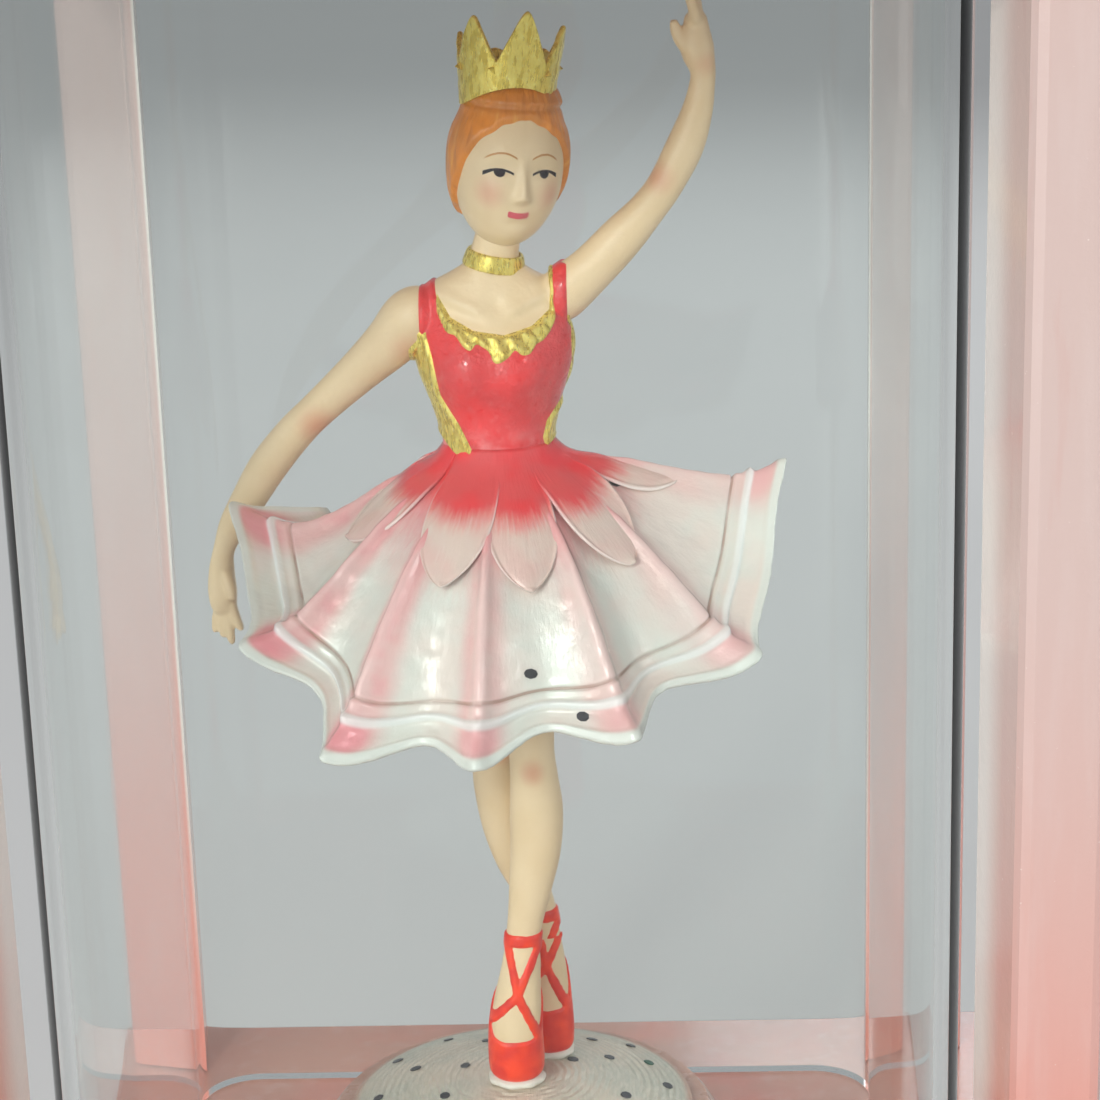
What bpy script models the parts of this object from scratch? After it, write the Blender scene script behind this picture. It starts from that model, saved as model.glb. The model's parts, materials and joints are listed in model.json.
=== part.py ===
"""Musical ballerina jewellery box.

A square wooden base on bun feet holds a drawer and a clockwork music movement. On its deck stands a
clear case inside four corner posts and a roof, and in the case a cast ballerina turns on a domed stage.
The frame is +Z up with the origin on the table under the turning axis, and the front of the box faces -Y.
Lengths are in metres.
"""

import math

import bmesh
import bpy
from mathutils import Matrix, Vector

# Driving dimensions of the cabinet
GAP = 0.0003
FOOT_HEIGHT = 0.012
PLINTH_WIDTH = 0.132
PLINTH_THICKNESS = 0.008
CARCASS_WIDTH = 0.124
CARCASS_HEIGHT = 0.040
PANEL = 0.005
DECK_WIDTH = 0.128
DECK_THICKNESS = 0.006
CASE_OPENING = 0.096
CASE_HEIGHT = 0.160
CASE_WALL = 0.0025
CASE_CORNER = 0.010
POST_SIZE = 0.011
POST_SPLAY = 0.0025
ROOF_WIDTH = 0.128
ROOF_THICKNESS = 0.008
CAP_WIDTH = 0.112
CAP_THICKNESS = 0.006

# Heights that follow from them
PLINTH_TOP = FOOT_HEIGHT + PLINTH_THICKNESS
CARCASS_TOP = PLINTH_TOP + CARCASS_HEIGHT
DECK_TOP = CARCASS_TOP + DECK_THICKNESS
CASE_TOP = DECK_TOP + CASE_HEIGHT

# Drawer
DRAWER_BACK = -0.018
DRAWER_WALL = 0.002
KNOB_REACH = 0.072
DRAWER_MIDDLE = PLINTH_TOP + CARCASS_HEIGHT / 2

# Music movement, whose barrel turns on the Z axis
BEDPLATE_TOP = PLINTH_TOP + GAP + 0.0025
ARBOR_RADIUS = 0.002
BARREL_RADIUS = 0.0124
BARREL_LOW = PLINTH_TOP + 0.006
BARREL_TOP = PLINTH_TOP + 0.0147
CROWN_TEETH = 36
CROWN_INNER = 0.0109
CROWN_OUTER = 0.0129
CROWN_BASE = BARREL_TOP + GAP
CROWN_BODY = 0.0010
CROWN_TOOTH = 0.0013
PINION_TEETH = 12
CROWN_PITCH = 2 * math.pi * (CROWN_INNER + CROWN_OUTER) / 2 / CROWN_TEETH
PINION_RADIUS = PINION_TEETH * CROWN_PITCH / (2 * math.pi)
CYLINDER_HEIGHT = CROWN_BASE + CROWN_BODY + CROWN_TOOTH * 0.56 + PINION_RADIUS
CYLINDER_RADIUS = 0.0065
CYLINDER_FRONT, CYLINDER_REAR = 0.0156, 0.0350
WHEEL_MODULE = 0.0007
WHEEL_TEETH = 24
SECOND_TEETH = 8
SECOND_SHIFT = 0.011
SECOND_DISTANCE = WHEEL_MODULE * (WHEEL_TEETH + SECOND_TEETH) / 2
SECOND_DROP = math.sqrt(SECOND_DISTANCE**2 - SECOND_SHIFT**2)
SECOND_HEIGHT = CYLINDER_HEIGHT - SECOND_DROP
WORM_WHEEL_TEETH = 20
WORM_WHEEL_RADIUS = 0.005
WORM_PITCH = 2 * math.pi * WORM_WHEEL_RADIUS / WORM_WHEEL_TEETH
WORM_MIDDLE_RADIUS = 0.0014
WORM_DISTANCE = 0.0065
WORM_X = SECOND_SHIFT + WORM_DISTANCE
WORM_Y = 0.0365
FAN_RADIUS = 0.0045
FAN_LOW = SECOND_HEIGHT + 0.0066
FAN_TOP = FAN_LOW + 0.004
STOP_HEIGHT = (FAN_LOW + FAN_TOP) / 2
STOP_TRAVEL = 0.004
STOP_KNOB = 0.0645
WHEEL_FRONT, WHEEL_REAR = 0.0380, 0.0395

# Stage and ballerina
STAGE_RADIUS = 0.0236
DOME_RADIUS = 0.0205
DOME_CROWN = DECK_TOP + 0.024
DOME_RIM = DECK_TOP + 0.0192
WAIST = DECK_TOP + 0.101
ARM_TURN = math.radians(255)


def clear_scene():
    for obj in list(bpy.data.objects):
        bpy.data.objects.remove(obj, do_unlink=True)


def new_collection(name):
    collection = bpy.data.collections.new(name)
    bpy.context.scene.collection.children.link(collection)
    return collection


def finish(name, colour, roughness, metallic=0.0, alpha=1.0):
    """A plain Principled material."""
    made = bpy.data.materials.new(name)
    made.use_nodes = True
    shader = made.node_tree.nodes["Principled BSDF"]
    shader.inputs["Base Color"].default_value = (*colour, 1.0)
    shader.inputs["Roughness"].default_value = roughness
    shader.inputs["Metallic"].default_value = metallic
    shader.inputs["Alpha"].default_value = alpha
    return made


def place(name, data, material, origin=(0, 0, 0)):
    """An object of the part with its origin at the given point; data is already drawn about that point."""
    obj = bpy.data.objects.new(name, data)
    obj.location = origin
    data.materials.append(material)
    PARTS.objects.link(obj)
    return obj


def mesh_from(bm, name, smooth=False):
    bmesh.ops.recalc_face_normals(bm, faces=bm.faces)
    mesh = bpy.data.meshes.new(name)
    bm.to_mesh(mesh)
    bm.free()
    if smooth:
        mesh.shade_smooth()
        mesh.set_sharp_from_angle(angle=math.radians(35))
    return mesh


def block(name, low, high, material, bevel=0.0):
    """A box between two corners, with rounded edges where bevel is set."""
    low, high = Vector(low), Vector(high)
    bm = bmesh.new()
    bmesh.ops.create_cube(bm, size=1)
    bmesh.ops.scale(bm, vec=high - low, verts=bm.verts)
    obj = place(name, mesh_from(bm, name), material, (low + high) / 2)
    if bevel:
        rounding = obj.modifiers.new("rounded_edges", "BEVEL")
        rounding.width = bevel
        rounding.segments = 2
    return obj


def cut(obj, tool):
    """Takes the tool's shape out of the object; the tool itself isn't part of the model."""
    tool.hide_render = True
    tool.display_type = "WIRE"
    for collection in list(tool.users_collection):
        collection.objects.unlink(tool)
    CUTTERS.objects.link(tool)
    boolean = obj.modifiers.new("cut_" + tool.name, "BOOLEAN")
    boolean.operation = "DIFFERENCE"
    boolean.object = tool
    return obj


def rod(name, start, end, radius, material, sides=16):
    """A round bar from start to end, with its origin in the middle."""
    start, end = Vector(start), Vector(end)
    along = end - start
    bm = bmesh.new()
    bmesh.ops.create_cone(
        bm, cap_ends=True, segments=sides, radius1=radius, radius2=radius, depth=along.length
    )
    bmesh.ops.transform(bm, matrix=along.to_track_quat("Z", "Y").to_matrix().to_4x4(), verts=bm.verts)
    return place(name, mesh_from(bm, name, smooth=True), material, (start + end) / 2)


def turned(name, profile, material, origin=(0, 0, 0), sides=24, lay=None, closed=False):
    """A lathe shape about Z. The profile runs down the outer side as (radius, height) about the origin.
    A closed profile makes a ring, and lay turns the finished shape on its side."""
    mesh = bpy.data.meshes.new(name)
    points = [(radius, 0.0, height) for radius, height in profile]
    edges = [(i, i + 1) for i in range(len(points) - 1)]
    if closed:
        edges.append((len(points) - 1, 0))
    mesh.from_pydata(points, edges, [])
    obj = place(name, mesh, material, origin)
    if lay:
        obj.rotation_euler = lay
    screw = obj.modifiers.new("lathe", "SCREW")
    screw.steps = sides
    screw.render_steps = sides
    screw.use_merge_vertices = True
    screw.merge_threshold = 0.00001
    screw.use_smooth_shade = True
    return obj


def flat_shape(name, outlines, thickness, material, origin=(0, 0, 0), lay=None):
    """A plate drawn as closed outlines in its own XY plane, the first one outside and the others holes."""
    curve = bpy.data.curves.new(name, "CURVE")
    curve.dimensions = "2D"
    curve.fill_mode = "BOTH"
    curve.extrude = thickness / 2
    for outline in outlines:
        spline = curve.splines.new("POLY")
        spline.points.add(len(outline) - 1)
        for point, (x, y) in zip(spline.points, outline):
            point.co = (x, y, 0, 1)
        spline.use_cyclic_u = True
    obj = place(name, curve, material, origin)
    if lay:
        obj.rotation_euler = lay
    return obj


def circle(radius, sides, centre=(0, 0)):
    turn = 2 * math.pi / sides
    return [
        (centre[0] + radius * math.cos(i * turn), centre[1] + radius * math.sin(i * turn))
        for i in range(sides)
    ]


def rounded_square(half, radius, steps=6):
    """Corner arcs of a square outline, counter-clockwise."""
    outline = []
    for corner in range(4):
        start = corner * math.pi / 2
        sign_x, sign_y = ((1, 1), (-1, 1), (-1, -1), (1, -1))[corner]
        for i in range(steps + 1):
            angle = start + i * math.pi / 2 / steps
            outline.append(
                (
                    sign_x * (half - radius) + radius * math.cos(angle),
                    sign_y * (half - radius) + radius * math.sin(angle),
                )
            )
    return outline


def gear_outline(teeth, pitch_radius, rise, fall, phase, thickness=0.40):
    """Straight-sided teeth. The thickness is the share of the pitch that a tooth takes at the pitch circle."""
    outline = []
    pitch = 2 * math.pi / teeth
    for i in range(teeth):
        middle = phase + i * pitch
        root, tip = pitch * thickness * 0.68, pitch * thickness * 0.33
        outline += [
            polar(pitch_radius - fall, middle - root),
            polar(pitch_radius + rise, middle - tip),
            polar(pitch_radius + rise, middle + tip),
            polar(pitch_radius - fall, middle + root),
        ]
    return outline


def polar(radius, angle):
    return radius * math.cos(angle), radius * math.sin(angle)


def tube(name, points, radii, material, resolution=2, sides_extra=0):
    """A round limb along a polyline whose radius changes from point to point, as a mesh with closed ends."""
    curve = bpy.data.curves.new(name, "CURVE")
    curve.dimensions = "3D"
    curve.bevel_depth = 1.0
    curve.bevel_resolution = resolution + sides_extra
    curve.use_fill_caps = True
    spline = curve.splines.new("POLY")
    spline.points.add(len(points) - 1)
    for target, point, radius in zip(spline.points, points, radii):
        target.co = (*point, 1)
        target.radius = radius
    return as_mesh(place(name, curve, material))


def as_mesh(obj):
    """Replaces a curve object by a mesh object of the same name, its caps welded to its sides."""
    bpy.context.view_layer.update()
    graph = bpy.context.evaluated_depsgraph_get()
    mesh = bpy.data.meshes.new_from_object(obj.evaluated_get(graph))
    bm = bmesh.new()
    bm.from_mesh(mesh)
    bmesh.ops.remove_doubles(bm, verts=bm.verts, dist=0.00001)
    bmesh.ops.recalc_face_normals(bm, faces=bm.faces)
    bm.to_mesh(mesh)
    bm.free()
    name, matrix, material = obj.name, obj.matrix_world.copy(), obj.data.materials[0]
    bpy.data.objects.remove(obj, do_unlink=True)
    mesh.materials.clear()
    made = place(name, mesh, material)
    made.matrix_world = matrix
    return made


def join(obj, tool):
    """Makes one body of two shapes that overlap."""
    tool.hide_render = True
    tool.display_type = "WIRE"
    for collection in list(tool.users_collection):
        collection.objects.unlink(tool)
    CUTTERS.objects.link(tool)
    boolean = obj.modifiers.new("join_" + tool.name, "BOOLEAN")
    boolean.operation = "UNION"
    boolean.object = tool
    return obj


def loft(name, sections, material, sides=16):
    """A closed body through level elliptical sections (x, y, z, half width, half depth)."""
    bm = bmesh.new()
    rings = []
    for x, y, z, half_x, half_y in sections:
        ring = bmesh.ops.create_circle(bm, cap_ends=False, segments=sides, radius=1.0)["verts"]
        bmesh.ops.scale(bm, vec=(half_x, half_y, 1), verts=ring)
        bmesh.ops.translate(bm, vec=(x, y, z), verts=ring)
        rings.append(ring)
    for low, high in zip(rings, rings[1:]):
        for i in range(sides):
            bm.faces.new((low[i], low[(i + 1) % sides], high[(i + 1) % sides], high[i]))
    bm.faces.new(rings[0])
    bm.faces.new(rings[-1])
    return place(name, mesh_from(bm, name, smooth=True), material)


def at_stage(x, y, z):
    """A point of the ballerina given in millimetres from the middle of the deck's top face."""
    return Vector((x / 1000, y / 1000, z / 1000 + DECK_TOP))


# ---------------------------------------------------------------------------- cabinet


def build_feet():
    profile = [
        (0.0, FOOT_HEIGHT - GAP),
        (0.0060, FOOT_HEIGHT - GAP),
        (0.0064, 0.0100),
        (0.0095, 0.0085),
        (0.0105, 0.0055),
        (0.0090, 0.0020),
        (0.0070, 0.0),
        (0.0, 0.0),
    ]
    reach = PLINTH_WIDTH / 2 - 0.0135
    for across, x in (("left", -reach), ("right", reach)):
        for along, y in (("front", -reach), ("back", reach)):
            turned(f"foot_{along}_{across}", profile, BLUSH_GLOSS, (x, y, 0), sides=16)


def build_base():
    half = PLINTH_WIDTH / 2
    plinth = block("plinth_board", (-half, -half, FOOT_HEIGHT), (half, half, PLINTH_TOP), CORAL, 0.0022)
    cut(plinth, rod("arbor_hole", (0, 0, FOOT_HEIGHT - 0.01), (0, 0, PLINTH_TOP + 0.01), 0.0032, CORAL))
    side = CARCASS_WIDTH / 2
    low, high = PLINTH_TOP + GAP, CARCASS_TOP - GAP
    for name, sign in (("left", -1), ("right", 1)):
        inner, outer = sign * (side - PANEL), sign * side
        block(
            f"side_panel_{name}",
            (min(inner, outer), -0.060, low),
            (max(inner, outer), 0.060, high),
            CORAL,
            0.0008,
        )
    inside = side - PANEL - GAP
    back = block("back_panel", (-inside, 0.055, low), (inside, 0.060, high), CORAL)
    cut(back, rod("stop_hole", (WORM_X, 0.050, STOP_HEIGHT), (WORM_X, 0.065, STOP_HEIGHT), 0.0016, CORAL))
    block("mechanism_partition", (-inside, -0.016, low), (inside, -0.0145, high), BARE_WOOD)
    deck_half = DECK_WIDTH / 2
    deck = block("deck_board", (-deck_half, -deck_half, CARCASS_TOP), (deck_half, deck_half, DECK_TOP), BLUSH, 0.0016)
    cut(deck, rod("shaft_hole", (0, 0, CARCASS_TOP - 0.01), (0, 0, DECK_TOP + 0.01), 0.0043, BLUSH, 20))
    turned(
        "deck_bushing",
        [
            (0.0058, CARCASS_TOP - GAP),
            (0.0058, CARCASS_TOP - 0.0014),
            (0.00215, CARCASS_TOP - 0.0014),
            (0.00215, DECK_TOP - GAP),
            (0.0040, DECK_TOP - GAP),
            (0.0040, CARCASS_TOP - GAP),
        ],
        BRASS,
        sides=20,
        closed=True,
    )


def build_drawer():
    inside = CARCASS_WIDTH / 2 - PANEL - 0.0006
    low, high = PLINTH_TOP + 0.0008, CARCASS_TOP - 0.0008
    block("drawer_front", (-inside, -0.060, low), (inside, -0.055, high), CORAL, 0.0006)
    tray_half, tray_low, tray_top = 0.0540, PLINTH_TOP + 0.0032, CARCASS_TOP - 0.0060
    tray = block(
        "drawer_tray", (-tray_half, -0.055 + GAP, tray_low), (tray_half, DRAWER_BACK, tray_top), BARE_WOOD
    )
    cut(
        tray,
        block(
            "drawer_hollow",
            (-tray_half + DRAWER_WALL, -0.055 + GAP + DRAWER_WALL, tray_low + DRAWER_WALL),
            (tray_half - DRAWER_WALL, DRAWER_BACK - DRAWER_WALL, tray_top + 0.01),
            BARE_WOOD,
        ),
    )
    edge = DRAWER_WALL + GAP
    block(
        "drawer_cushion",
        (-tray_half + edge, -0.055 + GAP + edge, tray_low + edge),
        (tray_half - edge, DRAWER_BACK - edge, tray_low + edge + 0.007),
        VELVET,
        0.0015,
    )
    for name, sign in (("left", -1), ("right", 1)):
        xs = sorted((sign * 0.046, sign * 0.0560))
        block(
            f"drawer_runner_{name}",
            (xs[0], -0.054, PLINTH_TOP + GAP),
            (xs[1], -0.0168, tray_low - GAP),
            BARE_WOOD,
        )
    reach = KNOB_REACH - 0.060
    turned(
        "drawer_knob",
        [
            (0.0, reach),
            (0.0030, reach - 0.0002),
            (0.0055, reach - 0.0020),
            (0.0060, reach - 0.0045),
            (0.0045, reach - 0.0070),
            (0.0022, reach - 0.0085),
            (0.0024, reach - 0.0105),
            (0.0040, GAP),
            (0.0, GAP),
        ],
        BRASS,
        (0, -0.060, DRAWER_MIDDLE),
        sides=20,
        lay=(math.pi / 2, 0, 0),
    )


def build_case():
    low, high = DECK_TOP + GAP, CASE_TOP - GAP
    half = CASE_OPENING / 2 - 0.0004
    flat_shape(
        "clear_case",
        [
            rounded_square(half, CASE_CORNER),
            rounded_square(half - CASE_WALL, CASE_CORNER - CASE_WALL),
        ],
        high - low,
        CLEAR,
        (0, 0, (low + high) / 2),
    )
    corner = CASE_OPENING / 2
    section = [(0, 0), (POST_SPLAY, POST_SIZE), (POST_SIZE, POST_SIZE), (POST_SIZE, POST_SPLAY)]
    for along, sign_y in (("front", -1), ("back", 1)):
        for across, sign_x in (("left", -1), ("right", 1)):
            bm = bmesh.new()
            corners = [
                bm.verts.new((sign_x * (corner + u), sign_y * (corner + v), low)) for u, v in section
            ]
            face = bm.faces.new(corners)
            grown = bmesh.ops.extrude_face_region(bm, geom=[face])["geom"]
            risen = [item for item in grown if isinstance(item, bmesh.types.BMVert)]
            bmesh.ops.translate(bm, vec=(0, 0, high - low), verts=risen)
            upright = [
                edge
                for edge in bm.edges
                if abs(edge.verts[0].co.z - edge.verts[1].co.z) > 0.1
                and max(abs(edge.verts[0].co.x), abs(edge.verts[0].co.y)) > corner + POST_SIZE - 0.001
            ]
            bmesh.ops.bevel(bm, geom=upright, offset=0.0012, segments=2, profile=0.5, affect="EDGES", material=-1)
            place(f"post_{along}_{across}", mesh_from(bm, "post"), BLUSH)
    roof = ROOF_WIDTH / 2
    block("roof_board", (-roof, -roof, CASE_TOP), (roof, roof, CASE_TOP + ROOF_THICKNESS), BLUSH, 0.0022)
    cap = CAP_WIDTH / 2
    base = CASE_TOP + ROOF_THICKNESS + GAP
    block("roof_cap", (-cap, -cap, base), (cap, cap, base + CAP_THICKNESS), BLUSH, 0.0020)


# ---------------------------------------------------------------------------- music movement


def build_bedplate():
    plate = block(
        "movement_bedplate", (-0.0190, -0.0130, PLINTH_TOP + GAP), (0.0260, 0.0440, BEDPLATE_TOP), ZINC
    )
    cut(plate, rod("bed_hole", (0, 0, PLINTH_TOP - 0.005), (0, 0, BEDPLATE_TOP + 0.005), 0.0024, ZINC))
    for name, x, y in (("left", -0.0150, -0.0085), ("right", 0.0215, -0.0085)):
        turned(
            f"bedplate_screw_{name}",
            [
                (0.0, 0.0012),
                (0.0012, 0.0012),
                (0.0024, 0.0004),
                (0.0024, 0.0),
                (0.0, 0.0),
            ],
            STEEL,
            (x, y, BEDPLATE_TOP + GAP),
            sides=12,
        )


def build_barrel():
    wall, lid = 0.0008, 0.0012
    turned(
        "spring_barrel",
        [
            (0.0, BARREL_TOP + 0.0020),
            (0.0032, BARREL_TOP + 0.0020),
            (0.0032, BARREL_TOP),
            (BARREL_RADIUS, BARREL_TOP),
            (BARREL_RADIUS, BARREL_LOW),
            (BARREL_RADIUS - wall, BARREL_LOW),
            (BARREL_RADIUS - wall, BARREL_TOP - lid),
            (0.0, BARREL_TOP - lid),
        ],
        BRASS,
        sides=32,
    )
    cover = BARREL_RADIUS - wall - GAP
    turned(
        "barrel_cover",
        [
            (cover, BARREL_LOW + 0.0010),
            (cover, BARREL_LOW),
            (ARBOR_RADIUS + 0.0003, BARREL_LOW),
            (ARBOR_RADIUS + 0.0003, BARREL_LOW + 0.0010),
        ],
        BRASS,
        sides=32,
        closed=True,
    )
    build_crown_gear()
    curve = bpy.data.curves.new("mainspring", "CURVE")
    curve.dimensions = "3D"
    curve.bevel_depth = 0.00018
    curve.bevel_resolution = 0
    curve.extrude = 0.0023
    curve.use_fill_caps = True
    turns, count = 4, 56
    spline = curve.splines.new("POLY")
    spline.points.add(count)
    for i, point in enumerate(spline.points):
        share = i / count
        radius = 0.0034 + (BARREL_RADIUS - wall - 0.0007 - 0.0034) * share
        angle = 2 * math.pi * turns * share
        point.co = (*polar(radius, angle), 0, 1)
    as_mesh(place("mainspring", curve, STEEL, (0, 0, (BARREL_LOW + 0.0010 + BARREL_TOP - lid) / 2)))


def build_crown_gear():
    """A ring whose teeth stand up and drive the cylinder's pinion at the ring's rear side."""
    steps = CROWN_TEETH * 2
    bm = bmesh.new()
    rings = []
    for radius, height in (
        (CROWN_INNER, 0),
        (CROWN_OUTER, 0),
        (CROWN_OUTER, CROWN_BODY),
        (CROWN_INNER, CROWN_BODY),
    ):
        half_step = math.pi / steps
        rings.append(
            [
                bm.verts.new((*polar(radius, math.pi / 2 + half_step + i * 2 * half_step), CROWN_BASE + height))
                for i in range(steps)
            ]
        )
    tops = []
    for a in range(4):
        low, high = rings[a], rings[(a + 1) % 4]
        for i in range(steps):
            face = bm.faces.new((low[i], low[(i + 1) % steps], high[(i + 1) % steps], high[i]))
            if a == 2 and i % 2 == 0:
                tops.append(face)
    for face in bmesh.ops.extrude_discrete_faces(bm, faces=tops)["faces"]:
        middle = face.calc_center_median()
        bmesh.ops.translate(bm, vec=(0, 0, CROWN_TOOTH), verts=face.verts)
        outward = Vector((middle.x, middle.y, 0)).normalized()
        for vert in face.verts:
            away = vert.co - middle
            away.z = 0
            along = outward * away.dot(outward)
            vert.co -= (away - along) * 0.36
    place("barrel_crown_gear", mesh_from(bm, "barrel_crown_gear"), BRASS)


def build_winder():
    rod("winding_arbor", (0, 0, FOOT_HEIGHT - GAP), (0, 0, BARREL_TOP - 0.0020), ARBOR_RADIUS, STEEL, 12)
    key = flat_shape(
        "winding_key",
        [
            [
                (-0.0028, 0.0042),
                (-0.0060, 0.0034),
                (-0.0095, 0.0040),
                (-0.0115, 0.0020),
                (-0.0115, -0.0020),
                (-0.0095, -0.0040),
                (-0.0060, -0.0034),
                (0.0060, -0.0034),
                (0.0095, -0.0040),
                (0.0115, -0.0020),
                (0.0115, 0.0020),
                (0.0095, 0.0040),
                (0.0060, 0.0034),
                (0.0028, 0.0042),
            ]
        ],
        0.0018,
        BRASS,
        (0, 0, 0.0062),
        (math.pi / 2, 0, 0),
    )
    join(as_mesh(key), rod("key_hub", (0, 0, 0.0050), (0, 0, FOOT_HEIGHT - 2 * GAP), 0.0030, BRASS, 12))
    coil = bpy.data.curves.new("click_spring", "CURVE")
    coil.dimensions = "3D"
    coil.bevel_depth = 0.0003
    coil.bevel_resolution = 0
    coil.use_fill_caps = True
    turns, per_turn, rise = 3, 12, 0.0008
    spline = coil.splines.new("POLY")
    spline.points.add(turns * per_turn)
    for i, point in enumerate(spline.points):
        angle = 2 * math.pi * i / per_turn
        point.co = (*polar(ARBOR_RADIUS + 0.0008, angle), rise * i / per_turn, 1)
    as_mesh(place("click_spring", coil, STEEL, (0, 0, BEDPLATE_TOP + 0.0004)))


def build_cylinder():
    sideways = (math.pi / 2, 0, 0)
    rear, front = WHEEL_REAR + 0.0016, 0.0106
    middle = (rear + front) / 2
    arbor = 0.00125
    profile = [
        (0.0, rear),
        (arbor, rear),
        (arbor, CYLINDER_REAR),
        (CYLINDER_RADIUS, CYLINDER_REAR),
        (CYLINDER_RADIUS, CYLINDER_FRONT),
        (arbor, CYLINDER_FRONT),
        (arbor, front),
        (0.0, front),
    ]
    turned(
        "music_cylinder",
        [(radius, y - middle) for radius, y in profile],
        BRASS,
        (0, middle, CYLINDER_HEIGHT),
        sides=20,
        lay=(-math.pi / 2, 0, 0),
    )
    bore = circle(arbor + 0.0001, 12)
    flat_shape(
        "cylinder_pinion",
        [gear_outline(PINION_TEETH, PINION_RADIUS, 0.00042, 0.00062, -math.pi / 2, 0.36), bore],
        0.0016,
        BRASS,
        (0, 0.0119, CYLINDER_HEIGHT),
        sideways,
    )
    away = math.atan2(-SECOND_DROP, SECOND_SHIFT)
    flat_shape(
        "cylinder_wheel",
        [
            gear_outline(
                WHEEL_TEETH, WHEEL_MODULE * WHEEL_TEETH / 2, WHEEL_MODULE * 0.75, WHEEL_MODULE, away
            ),
            bore,
        ],
        WHEEL_REAR - WHEEL_FRONT,
        BRASS,
        (0, (WHEEL_FRONT + WHEEL_REAR) / 2, CYLINDER_HEIGHT),
        sideways,
    )
    for name, y, outline, holes in (
        ("front", 0.0140, [(-0.0040, 0.0), (0.0040, 0.0), (0.0030, 0.0195), (-0.0030, 0.0195)], 1),
        ("rear", 0.0405, [(-0.0042, 0.0), (0.0150, 0.0), (0.0136, 0.0185), (-0.0030, 0.0195)], 2),
    ):
        centres = [(0, CYLINDER_HEIGHT), (SECOND_SHIFT, SECOND_HEIGHT)][:holes]
        base = BEDPLATE_TOP + GAP
        flat_shape(
            f"cylinder_bracket_{name}",
            [
                outline,
                *(circle(arbor + 0.00012, 12, (x, z - base)) for x, z in centres),
            ],
            0.0011,
            ZINC,
            (0, y, base),
            sideways,
        )


def build_comb():
    teeth, pitch, tooth = 18, 0.00103, 0.00072
    start = 0.0160
    outline = [(-0.0180, start - 0.0004), (-0.0180, start + teeth * pitch + 0.0001)]
    for i in reversed(range(teeth)):
        y = start + i * pitch
        outline += [
            (-0.0135, y + tooth),
            (-0.0069, y + tooth),
            (-0.0069, y),
            (-0.0135, y),
        ]
    flat_shape("music_comb", [outline], 0.0008, STEEL, (0, 0, CYLINDER_HEIGHT))
    seat = CYLINDER_HEIGHT - 0.0004 - GAP
    block("comb_support", (-0.0182, 0.0156, BEDPLATE_TOP + GAP), (-0.0142, 0.0350, seat), ZINC)
    for name, y in (("front", 0.0195), ("rear", 0.0310)):
        turned(
            f"comb_screw_{name}",
            [(0.0, 0.0010), (0.0010, 0.0010), (0.0015, 0.0005), (0.0015, 0.0), (0.0, 0.0)],
            BRASS,
            (-0.0162, y, CYLINDER_HEIGHT + 0.0004 + GAP),
            sides=10,
        )


def build_governor():
    sideways = (math.pi / 2, 0, 0)
    away = math.atan2(SECOND_DROP, -SECOND_SHIFT)
    radius = WHEEL_MODULE * SECOND_TEETH / 2
    pinion = as_mesh(
        flat_shape(
            "second_wheel",
            [
                gear_outline(
                    SECOND_TEETH, radius, WHEEL_MODULE * 0.75, WHEEL_MODULE, away + math.pi / SECOND_TEETH, 0.38
                )
            ],
            WHEEL_REAR - WHEEL_FRONT,
            BRASS,
            (SECOND_SHIFT, (WHEEL_FRONT + WHEEL_REAR) / 2, SECOND_HEIGHT),
            sideways,
        )
    )
    worm_wheel = as_mesh(
        flat_shape(
            "worm_wheel_blank",
            [gear_outline(WORM_WHEEL_TEETH, WORM_WHEEL_RADIUS, 0.00025, 0.00050, 0.0, 0.38)],
            0.0014,
            BRASS,
            (SECOND_SHIFT, WORM_Y, SECOND_HEIGHT),
            sideways,
        )
    )
    axle = rod(
        "second_axle",
        (SECOND_SHIFT, 0.0339, SECOND_HEIGHT),
        (SECOND_SHIFT, 0.0412, SECOND_HEIGHT),
        0.0011,
        STEEL,
        10,
    )
    join(join(pinion, axle), worm_wheel)
    flat_shape(
        "second_bracket",
        [
            [(-0.0022, 0.0), (0.0022, 0.0), (0.0018, 0.0170), (-0.0018, 0.0170)],
            circle(0.0013, 10, (0, SECOND_HEIGHT - BEDPLATE_TOP - GAP)),
        ],
        0.0010,
        ZINC,
        (SECOND_SHIFT, 0.0345, BEDPLATE_TOP + GAP),
        sideways,
    )
    build_worm()
    column, arm = 0.0235 - WORM_X, FAN_TOP + 0.0012 - BEDPLATE_TOP
    flat_shape(
        "governor_frame",
        [
            [
                (-0.0018, 0.0),
                (column + 0.0015, 0.0),
                (column + 0.0015, arm + 0.0012),
                (-0.0022, arm + 0.0012),
                (-0.0022, arm),
                (column, arm),
                (column, 0.0012),
                (-0.0018, 0.0012),
            ]
        ],
        0.0040,
        ZINC,
        (WORM_X, WORM_Y, BEDPLATE_TOP + GAP),
        sideways,
    )


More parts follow.
